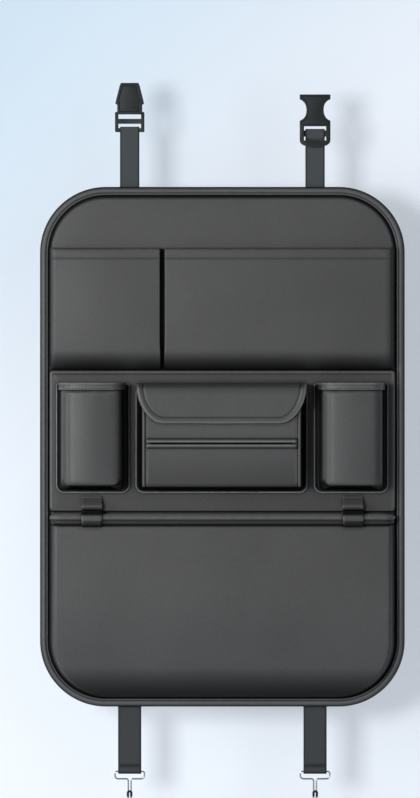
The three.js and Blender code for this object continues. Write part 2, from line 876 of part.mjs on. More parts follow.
function addPiece(name, solid, material) {
  const piece = new THREE.Mesh(geometryOf(solid), material);
  piece.name = name;
  organizer.add(piece);
}

addPiece('back_lining', backLining(), liningCloth());
addPiece('stiffener_board', stiffenerBoard(), fibreBoard());
addPiece('face_panel', facePanel(), leatherette());
addPiece('edge_binding', edgeBinding(), bindingLeather());

const pocketSide = panelWidth / 2 - pocketInset;
addPiece('top_pocket_left', topPocket(-pocketSide, dividerX - dividerWidth / 2), leatherette());
addPiece('top_pocket_right', topPocket(dividerX + dividerWidth / 2, pocketSide), leatherette());
addPiece('middle_panel', middlePanel(), leatherette());

for (const [side, sign] of [['left', -1], ['right', 1]]) {
  const cupX = frontCentreX + sign * cupSpacing;
  addPiece(`cup_pocket_${side}`, cupPocket(cupX), leatherette());
  addPiece(`cup_rim_${side}`, cupRim(cupX), leatherette());
  addPiece(`box_piping_${side}`, boxPiping(sign), leatherette());
  addPiece(`closure_tab_${side}`, closureTab(sign * tabSpacing), bindingLeather());
  addPiece(`bottom_strap_${side}`, bottomStrap(sign * strapSpacing), webbing());
  addPiece(`hook_wire_${side}`, hookWire(sign * strapSpacing), steel());
  addPiece(`hook_tip_${side}`, hookTip(sign * strapSpacing), rubberDip());
}

addPiece('box_gusset', boxGusset(), leatherette());
addPiece('box_front', boxFront(), leatherette());
addPiece('slit_lip_upper', slitLip(1), leatherette());
addPiece('slit_lip_lower', slitLip(-1), leatherette());
addPiece('box_flap', boxFlap(), leatherette());
addPiece('bottom_pocket', bottomPocket(), leatherette());
addPiece('bottom_pocket_hem', bottomPocketHem(), leatherette());
addPiece('top_strap_left', topStrapLeft(), webbing());
addPiece('top_strap_right', topStrapRight(), webbing());
addPiece('buckle_male', buckleMale(), mouldedPlastic());
addPiece('buckle_female', buckleFemale(), mouldedPlastic());

export default organizer;
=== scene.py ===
"""Looks of a car seat back organizer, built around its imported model.

Everything is in metres in the model's own frame: +Z up, +X to the right seen from the pockets,
and the pockets face -Y. Sizes in the classes are in millimetres, and a depth is a distance in
front of the panel's rear face.
"""

import logging
import math
from dataclasses import dataclass
from enum import Enum
from functools import cached_property
from typing import Callable, Iterable, Sequence

import bmesh
import bpy
import numpy as np
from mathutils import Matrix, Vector


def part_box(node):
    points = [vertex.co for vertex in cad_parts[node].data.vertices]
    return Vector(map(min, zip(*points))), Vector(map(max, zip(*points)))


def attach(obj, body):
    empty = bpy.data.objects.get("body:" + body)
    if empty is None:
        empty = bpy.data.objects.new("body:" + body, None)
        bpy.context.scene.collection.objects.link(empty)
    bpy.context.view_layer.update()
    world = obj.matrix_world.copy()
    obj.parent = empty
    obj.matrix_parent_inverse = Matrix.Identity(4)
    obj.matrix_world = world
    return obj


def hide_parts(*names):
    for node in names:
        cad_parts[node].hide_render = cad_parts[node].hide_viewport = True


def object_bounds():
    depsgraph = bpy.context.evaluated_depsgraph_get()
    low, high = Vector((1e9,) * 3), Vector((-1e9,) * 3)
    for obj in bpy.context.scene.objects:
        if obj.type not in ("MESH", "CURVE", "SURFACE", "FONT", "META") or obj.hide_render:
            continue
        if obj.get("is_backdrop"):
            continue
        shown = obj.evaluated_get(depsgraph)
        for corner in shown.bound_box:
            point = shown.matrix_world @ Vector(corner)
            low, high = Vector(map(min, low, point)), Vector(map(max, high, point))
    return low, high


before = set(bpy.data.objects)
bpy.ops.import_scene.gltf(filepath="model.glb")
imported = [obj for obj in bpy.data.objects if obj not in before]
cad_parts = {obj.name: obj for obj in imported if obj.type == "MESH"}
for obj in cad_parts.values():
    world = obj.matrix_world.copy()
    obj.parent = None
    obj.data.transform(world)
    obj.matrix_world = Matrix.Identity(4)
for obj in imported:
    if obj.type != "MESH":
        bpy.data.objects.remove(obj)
CAD_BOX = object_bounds()

MM = 0.001
ROOT = "root"
# Per-point attribute of painted shading: painted shade up to 1, painted highlight below 0
PAINTED_SHADING = "painted_shading"
# How far a sheet's rounded edge stands out, as a share of its thickness
EDGE_ROUND = 0.35
# Domed end of a tube: the scale of each ring and how far out it lies, in radii
DOME = ((0.85, 0.08), (0.55, 0.16))
log = logging.getLogger("organizer")

Array = np.ndarray


def cad_box_mm(node: str) -> tuple[Vector, Vector]:
    """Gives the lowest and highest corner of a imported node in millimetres."""
    low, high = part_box(node)
    return low / MM, high / MM


def smooth_step(value: Array | float, low: float, high: float) -> Array:
    """Rises smoothly from 0 at low to 1 at high."""
    share = np.clip((np.asarray(value, float) - low) / (high - low), 0.0, 1.0)
    return share * share * (3.0 - 2.0 * share)


def shoulder(distance: Array | float, width: float) -> Array:
    """Rises from 0 at a sewn edge to 1 past the shoulder."""
    return np.sin(0.5 * np.pi * np.clip(np.asarray(distance, float) / width, 0.0, 1.0))


def groove(distance: Array, place: float, width: float, depth: float) -> Array:
    """Gives the drop of a sewn line that runs at one distance from an edge."""
    return -depth * np.exp(-(((distance - place) / width) ** 2))


def eased(count: int) -> Array:
    """Gives shares from 0 to 1 that lie closer together towards both ends."""
    return 0.5 - 0.5 * np.cos(np.pi * np.arange(count + 1) / count)


def eased_from_foot(count: int) -> Array:
    """Gives shares from 0 to 1 that lie closer together towards 0."""
    return 1 - np.cos(0.5 * np.pi * np.arange(count + 1) / count)


def directions(line: Array) -> Array:
    """Gives the unit direction of a line at each of its points."""
    tangents = np.gradient(line, axis=0)
    return tangents / np.linalg.norm(tangents, axis=1, keepdims=True)


def around(grid: Array, inward: int = 0) -> Array:
    """Lists a grid's outermost entries in order, or those some steps inside them."""
    return np.concatenate([grid[inward, :], grid[1:, -1 - inward],
                           grid[-1 - inward, :-1][::-1], grid[1:-1, inward][::-1]])


# Mesh making


def linked(name: str, data: bpy.types.ID) -> bpy.types.Object:
    """Makes an object from its data and links it to the scene."""
    made = bpy.data.objects.new(name, data)
    bpy.context.scene.collection.objects.link(made)
    return made


def mesh_piece(name: str, points: Sequence | Array, faces: Iterable[Sequence[int]],
               painted_shading: Array | None = None) -> bpy.types.Object:
    """Makes a closed mesh object from points in millimetres.

    Args:
        name: the piece's name.
        points: rows of x, depth and z, in millimetres.
        faces: corner lists.
        painted_shading: painted shade on each point, up to 1, or a painted highlight below 0.

    Returns:
        The new object, linked to the scene.
    """
    rows = np.asarray(points, float)
    corners = np.column_stack([rows[:, 0], -rows[:, 1], rows[:, 2]]) * MM
    mesh = bpy.data.meshes.new(name)
    mesh.from_pydata(corners.tolist(), [], [tuple(int(i) for i in face) for face in faces])
    values = np.zeros(len(rows)) if painted_shading is None else np.asarray(painted_shading, float).ravel()
    layer = mesh.attributes.new(PAINTED_SHADING, "FLOAT", "POINT")
    layer.data.foreach_set("value", np.clip(values, -3.0, 1.0).astype(np.float32))
    clean = bmesh.new()
    clean.from_mesh(mesh)
    bmesh.ops.remove_doubles(clean, verts=clean.verts, dist=1e-7)
    bmesh.ops.dissolve_degenerate(clean, edges=clean.edges, dist=1e-7)
    bmesh.ops.recalc_face_normals(clean, faces=clean.faces)
    clean.to_mesh(mesh)
    clean.free()
    mesh.shade_smooth()
    return linked(name, mesh)


def grid_faces(rows: int, columns: int, start: int = 0, wrap: bool = False,
               flip: bool = False) -> list[tuple[int, ...]]:
    """Lists the quads of a grid of points stored row by row.

    Args:
        rows: how many rows of points.
        columns: how many points in a row.
        start: the first point's number.
        wrap: whether the last column joins the first.
        flip: whether the quads turn the other way.

    Returns:
        The quads.
    """
    faces = []
    last = columns if wrap else columns - 1
    for row in range(rows - 1):
        for column in range(last):
            beside = (column + 1) % columns
            quad = (start + row * columns + column, start + row * columns + beside,
                    start + (row + 1) * columns + beside, start + (row + 1) * columns + column)
            faces.append(quad[::-1] if flip else quad)
    return faces


def cap_face(first: int, count: int, flip: bool = False) -> tuple[int, ...]:
    """Gives the face that fills a loop of points numbered from the first."""
    face = tuple(range(first, first + count))
    return face[::-1] if flip else face


def sheet_piece(name: str, front: Array, thickness: float | Array,
                painted_shading: Array | None = None) -> bpy.types.Object:
    """Makes a closed sheet from a grid of front points and a thickness.

    Args:
        name: the piece's name.
        front: rows by columns by 3 array of x, depth, z in millimetres.
        thickness: how thick the sheet is, square to its surface.
        painted_shading: painted shade on each front point, up to 1, or a painted highlight below 0.

    Returns:
        The sheet, with rounded edges.
    """
    rows, columns, _ = front.shape
    across = np.gradient(front, axis=1)
    up = np.gradient(front, axis=0)
    normal = np.cross(across, up)
    normal /= np.maximum(np.linalg.norm(normal, axis=2, keepdims=True), 1e-9)
    if np.mean(normal[:, :, 1]) < 0:
        normal = -normal
    thick = np.broadcast_to(np.asarray(thickness, float), (rows, columns))[:, :, None]
    back = front - normal * thick
    middle = (front + back) / 2
    rim = around(middle)
    outward = rim - around(middle, 1)
    outward /= np.maximum(np.linalg.norm(outward, axis=1, keepdims=True), 1e-9)
    rim = rim + outward * (around(thick) * EDGE_ROUND)
    count = rows * columns
    faces = grid_faces(rows, columns) + grid_faces(rows, columns, count, flip=True)
    loop = around(np.arange(count).reshape(rows, columns))
    total = len(loop)
    for index in range(total):
        following = (index + 1) % total
        a, b = loop[index], loop[following]
        ra, rb = 2 * count + index, 2 * count + following
        faces.append((b, a, ra, rb))
        faces.append((a + count, b + count, rb, ra))
    points = np.concatenate([front.reshape(-1, 3), back.reshape(-1, 3), rim])
    flat = np.zeros(count) if painted_shading is None else np.broadcast_to(painted_shading, (rows, columns)).ravel()
    return mesh_piece(name, points, faces, np.concatenate([flat, flat, flat[loop]]))


def rings_piece(name: str, rings: Sequence[Array], close: bool = False,
                painted_shading: Sequence[float] | Array | None = None) -> bpy.types.Object:
    """Makes a closed mesh from loops of points that follow each other.

    Args:
        name: the piece's name.
        rings: loops of equal length, each an array of x, depth, z in millimetres.
        close: whether the last loop joins the first, or else both end loops are filled.
        painted_shading: painted shade, or below 0 painted highlight, for each loop or for each
            point.

    Returns:
        The piece.
    """
    columns = len(rings[0])
    stack = list(rings) + ([rings[0]] if close else [])
    faces = grid_faces(len(stack), columns, wrap=True)
    if not close:
        faces += [cap_face(0, columns, True), cap_face((len(stack) - 1) * columns, columns)]
    values = np.zeros(len(rings)) if painted_shading is None else np.asarray(painted_shading, float)
    if len(values) == len(rings):
        values = np.repeat(values, columns)
    if close:
        values = np.append(values, values[:columns])
    return mesh_piece(name, np.concatenate(stack), faces, values)


def join_pieces(name: str, parts: Sequence[bpy.types.Object]) -> bpy.types.Object:
    """Joins several mesh objects into one and names it."""
    target = bmesh.new()
    for part in parts:
        target.from_mesh(part.data)
        bpy.data.objects.remove(part)
    mesh = bpy.data.meshes.new(name)
    target.to_mesh(mesh)
    target.free()
    mesh.shade_smooth()
    return linked(name, mesh)


def apply_modifiers(piece: bpy.types.Object) -> None:
    """Puts a piece's modifiers into its mesh."""
    graph = bpy.context.evaluated_depsgraph_get()
    mesh = bpy.data.meshes.new_from_object(piece.evaluated_get(graph))
    piece.modifiers.clear()
    piece.data = mesh


@dataclass(frozen=True)
class RoundedRect:
    """An upright rectangle with round corners, in millimetres."""

    left: float
    right: float
    bottom: float
    top: float
    radius: float
    top_radius: float | None = None

    def loop(self, inset: float = 0.0, corner_steps: int = 10,
             side_steps: int = 12) -> Array:
        """Gives the outline moved inward.

        Args:
            inset: how far the outline moves in.
            corner_steps: steps round each corner.
            side_steps: steps along each side.

        Returns:
            An array of x and z pairs, anticlockwise from the right side's foot.
        """
        low = max(self.radius - inset, 0.02)
        high = low if self.top_radius is None else max(self.top_radius - inset, 0.02)
        radii = [high, high, low, low]
        x_out, x_in = self.right - inset, self.left + inset
        z_top, z_low = self.top - inset, self.bottom + inset
        centres = [(x_out - high, z_top - high), (x_in + high, z_top - high),
                   (x_in + low, z_low + low), (x_out - low, z_low + low)]
        points: list[tuple[float, float]] = []
        for number, ((cx, cz), radius) in enumerate(zip(centres, radii)):
            for step in range(corner_steps + 1):
                angle = (number + step / corner_steps) * math.pi / 2
                points.append((cx + radius * math.cos(angle), cz + radius * math.sin(angle)))
            nx, nz = centres[(number + 1) % 4]
            radius = radii[(number + 1) % 4]
            turn = (number + 1) * math.pi / 2
            start = np.array(points[-1])
            end = np.array([nx + radius * math.cos(turn), nz + radius * math.sin(turn)])
            for step in range(1, side_steps):
                points.append(tuple(start + (end - start) * step / side_steps))
        return np.array(points)

    def ring(self, inset: float, depth: float, **steps: int) -> Array:
        """Gives the outline as a loop of x, depth, z at one depth."""
        loop = self.loop(inset, **steps)
        return np.column_stack([loop[:, 0], np.full(len(loop), depth), loop[:, 1]])


def distance_to_loop(points: Array, loop: Array) -> Array:
    """Gives each point's distance to a closed or open line of points.

    Args:
        points: array of x and z pairs.
        loop: the line's points in order.

    Returns:
        One distance for each point.
    """
    nearest = np.full(len(points), 1e9)
    for start, end in zip(loop[:-1], loop[1:]):
        along = end - start
        length = max(float(along @ along), 1e-9)
        share = np.clip(((points - start) @ along) / length, 0.0, 1.0)
        gap = np.linalg.norm(points - (start + share[:, None] * along), axis=1)
        nearest = np.minimum(nearest, gap)
    return nearest


def route(corners: Sequence[Sequence[float]], steps: int = 8) -> Array:
    """Rounds the corners of a route.

    Args:
        corners: x, depth, z and an optional bend radius for each corner.
        steps: steps in each bend.

    Returns:
        The route's points.
    """
    points: list[Array] = []

    def add(point: Array) -> None:
        """Adds a point unless it repeats the last one."""
        if not points or np.linalg.norm(points[-1] - point) > 0.02:
            points.append(point)

    for index, corner in enumerate(corners):
        here = np.array(corner[:3], float)
        radius = corner[3] if len(corner) > 3 else 0.0
        if index in (0, len(corners) - 1) or radius == 0:
            add(here)
            continue
        before = np.array(corners[index - 1][:3], float) - here
        after = np.array(corners[index + 1][:3], float) - here
        before /= np.linalg.norm(before)
        after /= np.linalg.norm(after)
        angle = math.acos(float(np.clip(before @ after, -1, 1)))
        run = radius / math.tan(angle / 2)
        bisector = (before + after) / np.linalg.norm(before + after)
        centre = here + bisector * radius / math.sin(angle / 2)
        first, last = here + before * run - centre, here + after * run - centre
        turn = math.pi - angle
        for step in range(steps + 1):
            share = step / steps
            arm = (first * math.sin((1 - share) * turn) + last * math.sin(share * turn))
            add(centre + arm / math.sin(turn))
    return np.array(points)


def resampled(points: Array, step: float) -> Array:
    """Gives points along a line at even steps of about one length."""
    lengths = np.linalg.norm(np.diff(points, axis=0), axis=1)
    travel = np.concatenate([[0.0], np.cumsum(lengths)])
    count = max(2, int(round(travel[-1] / step)) + 1)
    places = np.linspace(0.0, travel[-1], count)
    return np.column_stack([np.interp(places, travel, points[:, axis]) for axis in range(3)])


def tube_piece(name: str, line: Array, tall: float, wide: float, sides: int = 20,
               up: Sequence[float] = (0.0, 0.0, 1.0)) -> bpy.types.Object:
    """Makes a round or oval tube with domed ends along a line.

    Args:
        name: the piece's name.
        line: points of x, depth, z in millimetres.
        tall: half the size along up.
        wide: half the size across.
        sides: sides of the section.
        up: the direction that tall is measured along, where the line allows.

    Returns:
        The tube.
    """
    tangents = directions(line)
    rings = []
    above = np.array(up, float)
    above -= tangents[0] * (above @ tangents[0])
    above /= np.linalg.norm(above)
    for point, tangent in zip(line, tangents):
        above = above - tangent * (above @ tangent)
        above /= np.linalg.norm(above)
        beside = np.cross(tangent, above)
        angles = 2 * np.pi * np.arange(sides) / sides
        rings.append(point + np.outer(np.cos(angles) * tall, above)
                     + np.outer(np.sin(angles) * wide, beside))
    small = min(tall, wide)
    head, tail = [
        [line[end] + (rings[end] - line[end]) * scale + tangents[end] * sign * reach * small
         for scale, reach in DOME] for end, sign in ((0, -1), (-1, 1))]
    return rings_piece(name, head[::-1] + rings + tail)


def profile_piece(name: str, line: Array, section: Array, painted_shading: Sequence[float],
                  heights: Array) -> bpy.types.Object:
    """Draws a closed section along a level line.

    Args:
        name: the piece's name.
        line: points of x, depth, z, all at one height.
        section: pairs of how far out from the line and how high, seen along the line.
        painted_shading: painted shade, or below 0 painted highlight, for each point of the section.
        heights: how tall the section is at each point of the line, 1 for its full height.

    Returns:
        The piece.
    """
    smooth = []
    for index in range(len(section)):
        before, here, after, next_on = (section[(index + k) % len(section)] for k in (-1, 0, 1, 2))
        for share in (0.0, 0.5):
            t2, t3 = share * share, share ** 3
            smooth.append(0.5 * (2 * here + (after - before) * share
                                 + (2 * before - 5 * here + 4 * after - next_on) * t2
                                 + (3 * here - before - 3 * after + next_on) * t3))
    tangents = directions(line)
    rings = []
    for point, tangent, tall in zip(line, tangents, heights):
        out = np.array([-tangent[1], tangent[0], 0.0])
        rings.append(np.array([point + out * reach + np.array([0, 0, tall]) * rise
                               for reach, rise in smooth]))
    following = np.roll(painted_shading, -1)
    values = np.column_stack([painted_shading, (np.array(painted_shading) + following) / 2]).ravel()
    return rings_piece(name, rings, painted_shading=np.tile(values, len(rings)))


def ribbon_piece(name: str, line: Array, thickness: float, left: float, right: float,
                 step: float = 2.0, painted_shading: Callable[[Array], Array] | None = None,
                 edge_darkening: float = 0.0) -> bpy.types.Object:
    """Makes a flat ribbon with rounded selvedges that follows a line seen from the side.

    Args:
        name: the piece's name.
        line: points of x, depth, z, with x unused.
        thickness: how thick the ribbon is.
        left: x of its left edge.
        right: x of its right edge.
        step: longest step along it.
        painted_shading: gives the painted shade or highlight of the ribbon at each height.
        edge_darkening: how much darker its two edges are painted.

    Returns:
        The ribbon.
    """
    parts = [line[:1]]
    for start, end in zip(line[:-1], line[1:]):
        count = max(1, int(math.ceil(np.linalg.norm(end - start) / step)))
        parts.append(start + (end - start) * (np.arange(1, count + 1) / count)[:, None])
    path = np.concatenate(parts)
    tangents = directions(path)
    half = thickness / 2
    edge = min(0.9, half)
    section = [(left, 0.0), (left + edge * 0.3, half * 0.7), (left + edge, half)]
    inner = np.linspace(left + edge, right - edge, 12)[1:-1]
    section += [(x, half) for x in inner]
    section += [(right - edge, half), (right - edge * 0.3, half * 0.7), (right, 0.0),
                (right - edge * 0.3, -half * 0.7), (right - edge, -half)]
    section += [(x, -half) for x in inner[::-1]]
    section += [(left + edge, -half), (left + edge * 0.3, -half * 0.7)]
    rings = []
    for point, tangent in zip(path, tangents):
        out = np.array([0.0, tangent[2], -tangent[1]])
        rings.append(np.array([[x, point[1], point[2]] + out * rise for x, rise in section]))
    values = np.zeros(len(path)) if painted_shading is None else painted_shading(path[:, 2])
    rim = np.array([edge_darkening if min(x - left, right - x) < 1.2 else 0.0 for x, _ in section])
    return rings_piece(name, rings, painted_shading=np.maximum(values[:, None], rim).ravel())


# Shader building


Socket = bpy.types.NodeSocket


class Tree:
    """Adds and links nodes in one shader tree."""

    def __init__(self, tree: bpy.types.NodeTree) -> None:
        """Keeps the tree and starts the layout."""
        self.tree = tree
        self.count = 0

    def add(self, kind: str, inputs: dict | None = None, **settings) -> bpy.types.Node:
        """Adds a node.

        Args:
            kind: the node's type name without its prefix.
            inputs: values or source sockets by input name or number.
            **settings: properties of the node.

        Returns:
            The node.
        """
        node = self.tree.nodes.new("ShaderNode" + kind)
        node.location = (220 * (self.count % 8), -260 * (self.count // 8))
        self.count += 1
        for key, value in settings.items():
            setattr(node, key, value)
        self.feed(node, inputs or {})
        return node

    def feed(self, node: bpy.types.Node, inputs: dict) -> None:
        """Sets a node's inputs, each to a value or linked from a socket."""
        for key, value in inputs.items():
            if isinstance(value, Socket):
                self.tree.links.new(value, node.inputs[key])
            else:
                node.inputs[key].default_value = value

    @cached_property
    def place(self) -> Socket:
        """Gives the object's own coordinates."""
        return self.add("TexCoord").outputs["Object"]

    def math(self, operation: str, first: Socket | float, second: Socket | float = 0.0) -> Socket:
        """Adds a Math node and gives its output."""
        return self.add("Math", {0: first, 1: second}, operation=operation).outputs[0]

    def times(self, colour: Socket | Sequence[float], share: Socket | Sequence[float]) -> Socket:
        """Multiplies a colour by a share or by another colour."""
        return self.add("VectorMath", {0: colour, 1: share}, operation="MULTIPLY").outputs[0]

    def blend(self, share: Socket, first: Socket | Sequence[float],
              second: Socket | Sequence[float]) -> Socket:
        """Mixes two colours, with the share taken from the second."""
        return self.add("Mix", {"Factor": share, "A": first, "B": second},
                        data_type="RGBA").outputs["Result"]

    def ramp(self, value: Socket, low: float, high: Socket | float, to_low: float = 0.0,
             to_high: float = 1.0) -> Socket:
        """Maps a value from one range to another and holds it at both ends."""
        return self.add("MapRange", {0: value, 1: low, 2: high, 3: to_low, 4: to_high}).outputs[0]

    def noise(self, scale: Socket | float, detail: float, roughness: float = 0.5) -> Socket:
        """Gives noise over the object's own coordinates."""
        return self.add("TexNoise", {"Vector": self.place, "Scale": scale, "Detail": detail,
                                     "Roughness": roughness}).outputs["Fac"]

    def bump(self, height: Socket, strength: float, distance: float) -> Socket:
        """Gives the normal of a fine relief."""
        return self.add("Bump", {"Height": height, "Strength": strength,
                                 "Distance": distance}).outputs[0]

    def painted_shading_gain(self) -> Socket:
        """Gives one minus the painted shading stored on the mesh: below 1 for painted shade, above
        1 for painted highlights.
        """
        deep = self.add("Attribute", attribute_name=PAINTED_SHADING)
        return self.math("SUBTRACT", 1.0, deep.outputs["Fac"])


def new_group(name: str, inputs: dict[str, float],
              outputs: Sequence[str]) -> tuple[Tree, dict, bpy.types.Node]:
    """Starts a shader node group whose sockets are all plain values.

    Args:
        name: the group's name.
        inputs: default values by name.
        outputs: names.

    Returns:
        The tree helper, the inner sockets of the inputs, and the output node.
    """
    group = bpy.data.node_groups.new(name, "ShaderNodeTree")
    for key, value in inputs.items():
        socket = group.interface.new_socket(key, in_out="INPUT", socket_type="NodeSocketFloat")
        socket.default_value = value
    for key in outputs:
        group.interface.new_socket(key, in_out="OUTPUT", socket_type="NodeSocketFloat")
    entry = group.nodes.new("NodeGroupInput")
    leave = group.nodes.new("NodeGroupOutput")
    return Tree(group), {key: entry.outputs[key] for key in inputs}, leave


def leather_grain_group() -> bpy.types.NodeTree:
    """Builds the pebbled grain of leatherette: its height and the tone in its valleys."""
    tree, given, leave = new_group("leather_grain", {"Pebbles": 900.0, "Creases": 60.0},
                                   ("Height", "Valley", "Drift"))
    warp = tree.add("TexNoise", {"Vector": tree.place, "Scale": 420.0, "Detail": 2.0})
    shift = tree.times(warp.outputs["Color"], (0.0012, 0.0012, 0.0012))
    moved = tree.add("VectorMath", {0: tree.place, 1: shift}, operation="ADD").outputs[0]
    cells = tree.add("TexVoronoi", {"Vector": moved, "Scale": given["Pebbles"]},
                     feature="SMOOTH_F1").outputs["Distance"]
    pebble = tree.math("SUBTRACT", 1.0, cells)
    folds = tree.math("MULTIPLY", tree.noise(given["Creases"], 6.0, 0.62), 0.8)
    tree.feed(leave, {"Height": tree.math("ADD", pebble, folds),
                      "Valley": tree.ramp(cells, 0.35, 0.75),
                      "Drift": tree.noise(9.0, 3.0)})
    return tree.tree


def ribbed_weave_group() -> bpy.types.NodeTree:
    """Builds the ribbed weave of flat webbing: its height and its dark gaps."""
    tree, given, leave = new_group("ribbed_weave", {"Rib Pitch": 0.0016, "Pick Pitch": 0.0011},
                                   ("Height", "Gap", "Fuzz"))
    axes = tree.add("SeparateXYZ", {0: tree.place}).outputs

    def turns(axis: str, pitch: str) -> Socket:
        """Gives an angle along one axis, a full turn for each pitch."""
        return tree.math("DIVIDE", tree.math("MULTIPLY", axes[axis], 2 * math.pi), given[pitch])

    rib = tree.math("SINE", turns("X", "Rib Pitch"))
    shift = tree.math("MULTIPLY", tree.math("SIGN", rib), math.pi / 2)
    pick = tree.math("SINE", tree.math("ADD", shift, turns("Z", "Pick Pitch")))
    weave = tree.math("ADD", tree.math("MULTIPLY", tree.math("ABSOLUTE", rib), 0.7),
                      tree.math("MULTIPLY", pick, 0.3))
    tree.feed(leave, {"Height": weave, "Gap": tree.ramp(weave, 0.35, -0.1),
                      "Fuzz": tree.noise(2600.0, 3.0)})
    return tree.tree


def edge_wear_group() -> bpy.types.NodeTree:
    """Builds a mask of rubbed edges, broken up by noise."""
    tree, given, leave = new_group("edge_wear", {"Reach": 0.06, "Patches": 120.0}, ("Wear",))
    point = tree.add("NewGeometry").outputs["Pointiness"]
    edge = tree.ramp(point, 0.505, tree.math("ADD", given["Reach"], 0.5))
    broken = tree.ramp(tree.noise(given["Patches"], 4.0), 0.35, 0.65)
    tree.feed(leave, {"Wear": tree.math("MULTIPLY", edge, broken)})
    return tree.tree


def crease_shade_group() -> bpy.types.NodeTree:
    """Builds a mask from ambient occlusion, 1 in the open and falling towards creases and narrow
    gaps, used to paint shade into a colour.
    """
    tree, given, leave = new_group("crease_shade", {"Reach": 0.02, "Depth": 1.0}, ("Open",))
    near = tree.add("AmbientOcclusion", {"Distance": given["Reach"]}, samples=8)
    tree.feed(leave, {"Open": tree.math("POWER", near.outputs["AO"], given["Depth"])})
    return tree.tree


class Effect(Enum):
    """The shared shader groups."""

    GRAIN = "leather_grain"
    WEAVE = "ribbed_weave"
    WEAR = "edge_wear"
    PAINTED_SHADING = "crease_shade"


BUILDERS: dict[Effect, Callable[[], bpy.types.NodeTree]] = {
    Effect.GRAIN: leather_grain_group,
    Effect.WEAVE: ribbed_weave_group,
    Effect.WEAR: edge_wear_group,
    Effect.PAINTED_SHADING: crease_shade_group,
}


def effect(tree: Tree, kind: Effect, inputs: dict | None = None) -> bpy.types.NodeOutputs:
    """Places a shared group in a material, building it the first time, and gives its outputs."""
    group = bpy.data.node_groups.get(kind.value) or BUILDERS[kind]()
    node = tree.tree.nodes.new("ShaderNodeGroup")
    node.node_tree = group
    tree.feed(node, inputs or {})
    return node.outputs


def blank_material(name: str) -> tuple[bpy.types.Material, Tree, bpy.types.Node]:
    """Makes a material with one Principled BSDF and gives it, its tree helper and the shader."""
    material = bpy.data.materials.new(name)
    material.use_nodes = True
    return material, Tree(material.node_tree), material.node_tree.nodes["Principled BSDF"]


@dataclass(frozen=True)
class Coat:
    """What every finish has: a name, a linear grey and a tint."""

    name: str
    tone: float
    tint: tuple[float, float, float] = (1.0, 1.0, 1.0)

    def shade(self, share: float = 1.0) -> tuple[float, ...]:
        """Gives the colour as RGBA, made darker or lighter by a share."""
        return (*(self.tone * share * part for part in self.tint), 1.0)


@dataclass(frozen=True)
class Leatherette(Coat):
    """Smooth coated leather cloth with a fine pebble."""

    roughness: float = 0.4
    specular: float = 0.2
    bump: float = 0.12
    bump_height: float = 0.00035
    pebbles: float = 900.0
    wear: float = 0.35
    valley_share: float = 0.82
    worn_share: float = 1.9
    painted_shade_reach: float = 0.006
    painted_shade_depth: float = 1.5

    def build(self) -> bpy.types.Material:
        """Builds the material."""
        material, tree, shader = blank_material(self.name)
        grain = effect(tree, Effect.GRAIN, {"Pebbles": self.pebbles})
        rubbed = effect(tree, Effect.WEAR)["Wear"]
        # Painted shade from ambient occlusion and from the painted shading on the mesh darkens the
        # colour; painted highlights lighten it
        near = effect(tree, Effect.PAINTED_SHADING, {"Reach": self.painted_shade_reach,
                                            "Depth": self.painted_shade_depth})["Open"]
        base = tree.blend(grain["Valley"], self.shade(), self.shade(self.valley_share))
        toned = tree.times(base, tree.ramp(grain["Drift"], 0.3, 0.7, 0.94, 1.06))
        worn = tree.math("MULTIPLY", rubbed, self.wear)
        colour = tree.blend(worn, toned, self.shade(self.worn_share))
        painted_light_gain = tree.math("MULTIPLY", near, tree.painted_shading_gain())
        tree.feed(shader, {
            "Base Color": tree.times(colour, painted_light_gain),
            "Roughness": tree.ramp(grain["Drift"], 0.25, 0.75, self.roughness - 0.05,
                                   self.roughness + 0.06),
            "Normal": tree.bump(grain["Height"], self.bump, self.bump_height),
            "Specular IOR Level": self.specular})
        return material


@dataclass(frozen=True)
class Webbing(Coat):
    """Woven polyester strap."""

    tint: tuple[float, float, float] = (0.88, 1.0, 1.07)
    rib_pitch: float = 0.0016
    pick_pitch: float = 0.0011
    bump: float = 0.5
    bump_height: float = 0.0003
    gap_share: float = 0.45
    sheen: float = 0.15
    specular: float = 0.25

    def build(self) -> bpy.types.Material:
        """Builds the material."""
        material, tree, shader = blank_material(self.name)
        weave = effect(tree, Effect.WEAVE, {"Rib Pitch": self.rib_pitch,
                                            "Pick Pitch": self.pick_pitch})
        gaps = tree.math("MULTIPLY", weave["Gap"], 0.55)
        base = tree.blend(gaps, self.shade(), self.shade(self.gap_share))
        toned = tree.times(base, tree.ramp(weave["Fuzz"], 0.3, 0.7, 0.9, 1.1))
        # The painted shade and painted dark edges on the mesh darken the webbing's colour
        tree.feed(shader, {
            "Base Color": tree.times(toned, tree.painted_shading_gain()),
            "Roughness": tree.ramp(weave["Fuzz"], 0.0, 1.0, 0.78, 0.92),
            "Normal": tree.bump(weave["Height"], self.bump, self.bump_height),
            "Sheen Weight": self.sheen,
            "Specular IOR Level": self.specular})
        return material


@dataclass(frozen=True)
class MouldedPlastic(Coat):
    """Satin moulded plastic with faint flow marks."""

    tint: tuple[float, float, float] = (0.8, 1.0, 1.06)
    roughness: float = 0.45
    specular: float = 0.2
    wear: float = 0.5
    worn_share: float = 2.6

    def build(self) -> bpy.types.Material:
        """Builds the material."""
        material, tree, shader = blank_material(self.name)
        rubbed = effect(tree, Effect.WEAR, {"Reach": 0.08})["Wear"]
        flow = tree.noise(160.0, 5.0)
        toned = tree.times(self.shade()[:3], tree.ramp(flow, 0.3, 0.7, 0.9, 1.12))
        worn = tree.math("MULTIPLY", rubbed, self.wear)
        tree.feed(shader, {
            "Base Color": tree.blend(worn, toned, self.shade(self.worn_share)),
            "Roughness": tree.ramp(flow, 0.0, 1.0, self.roughness - 0.06, self.roughness + 0.1),
            "Normal": tree.bump(tree.noise(3200.0, 2.0), 0.12, 0.0001),
            "Specular IOR Level": self.specular})
        return material


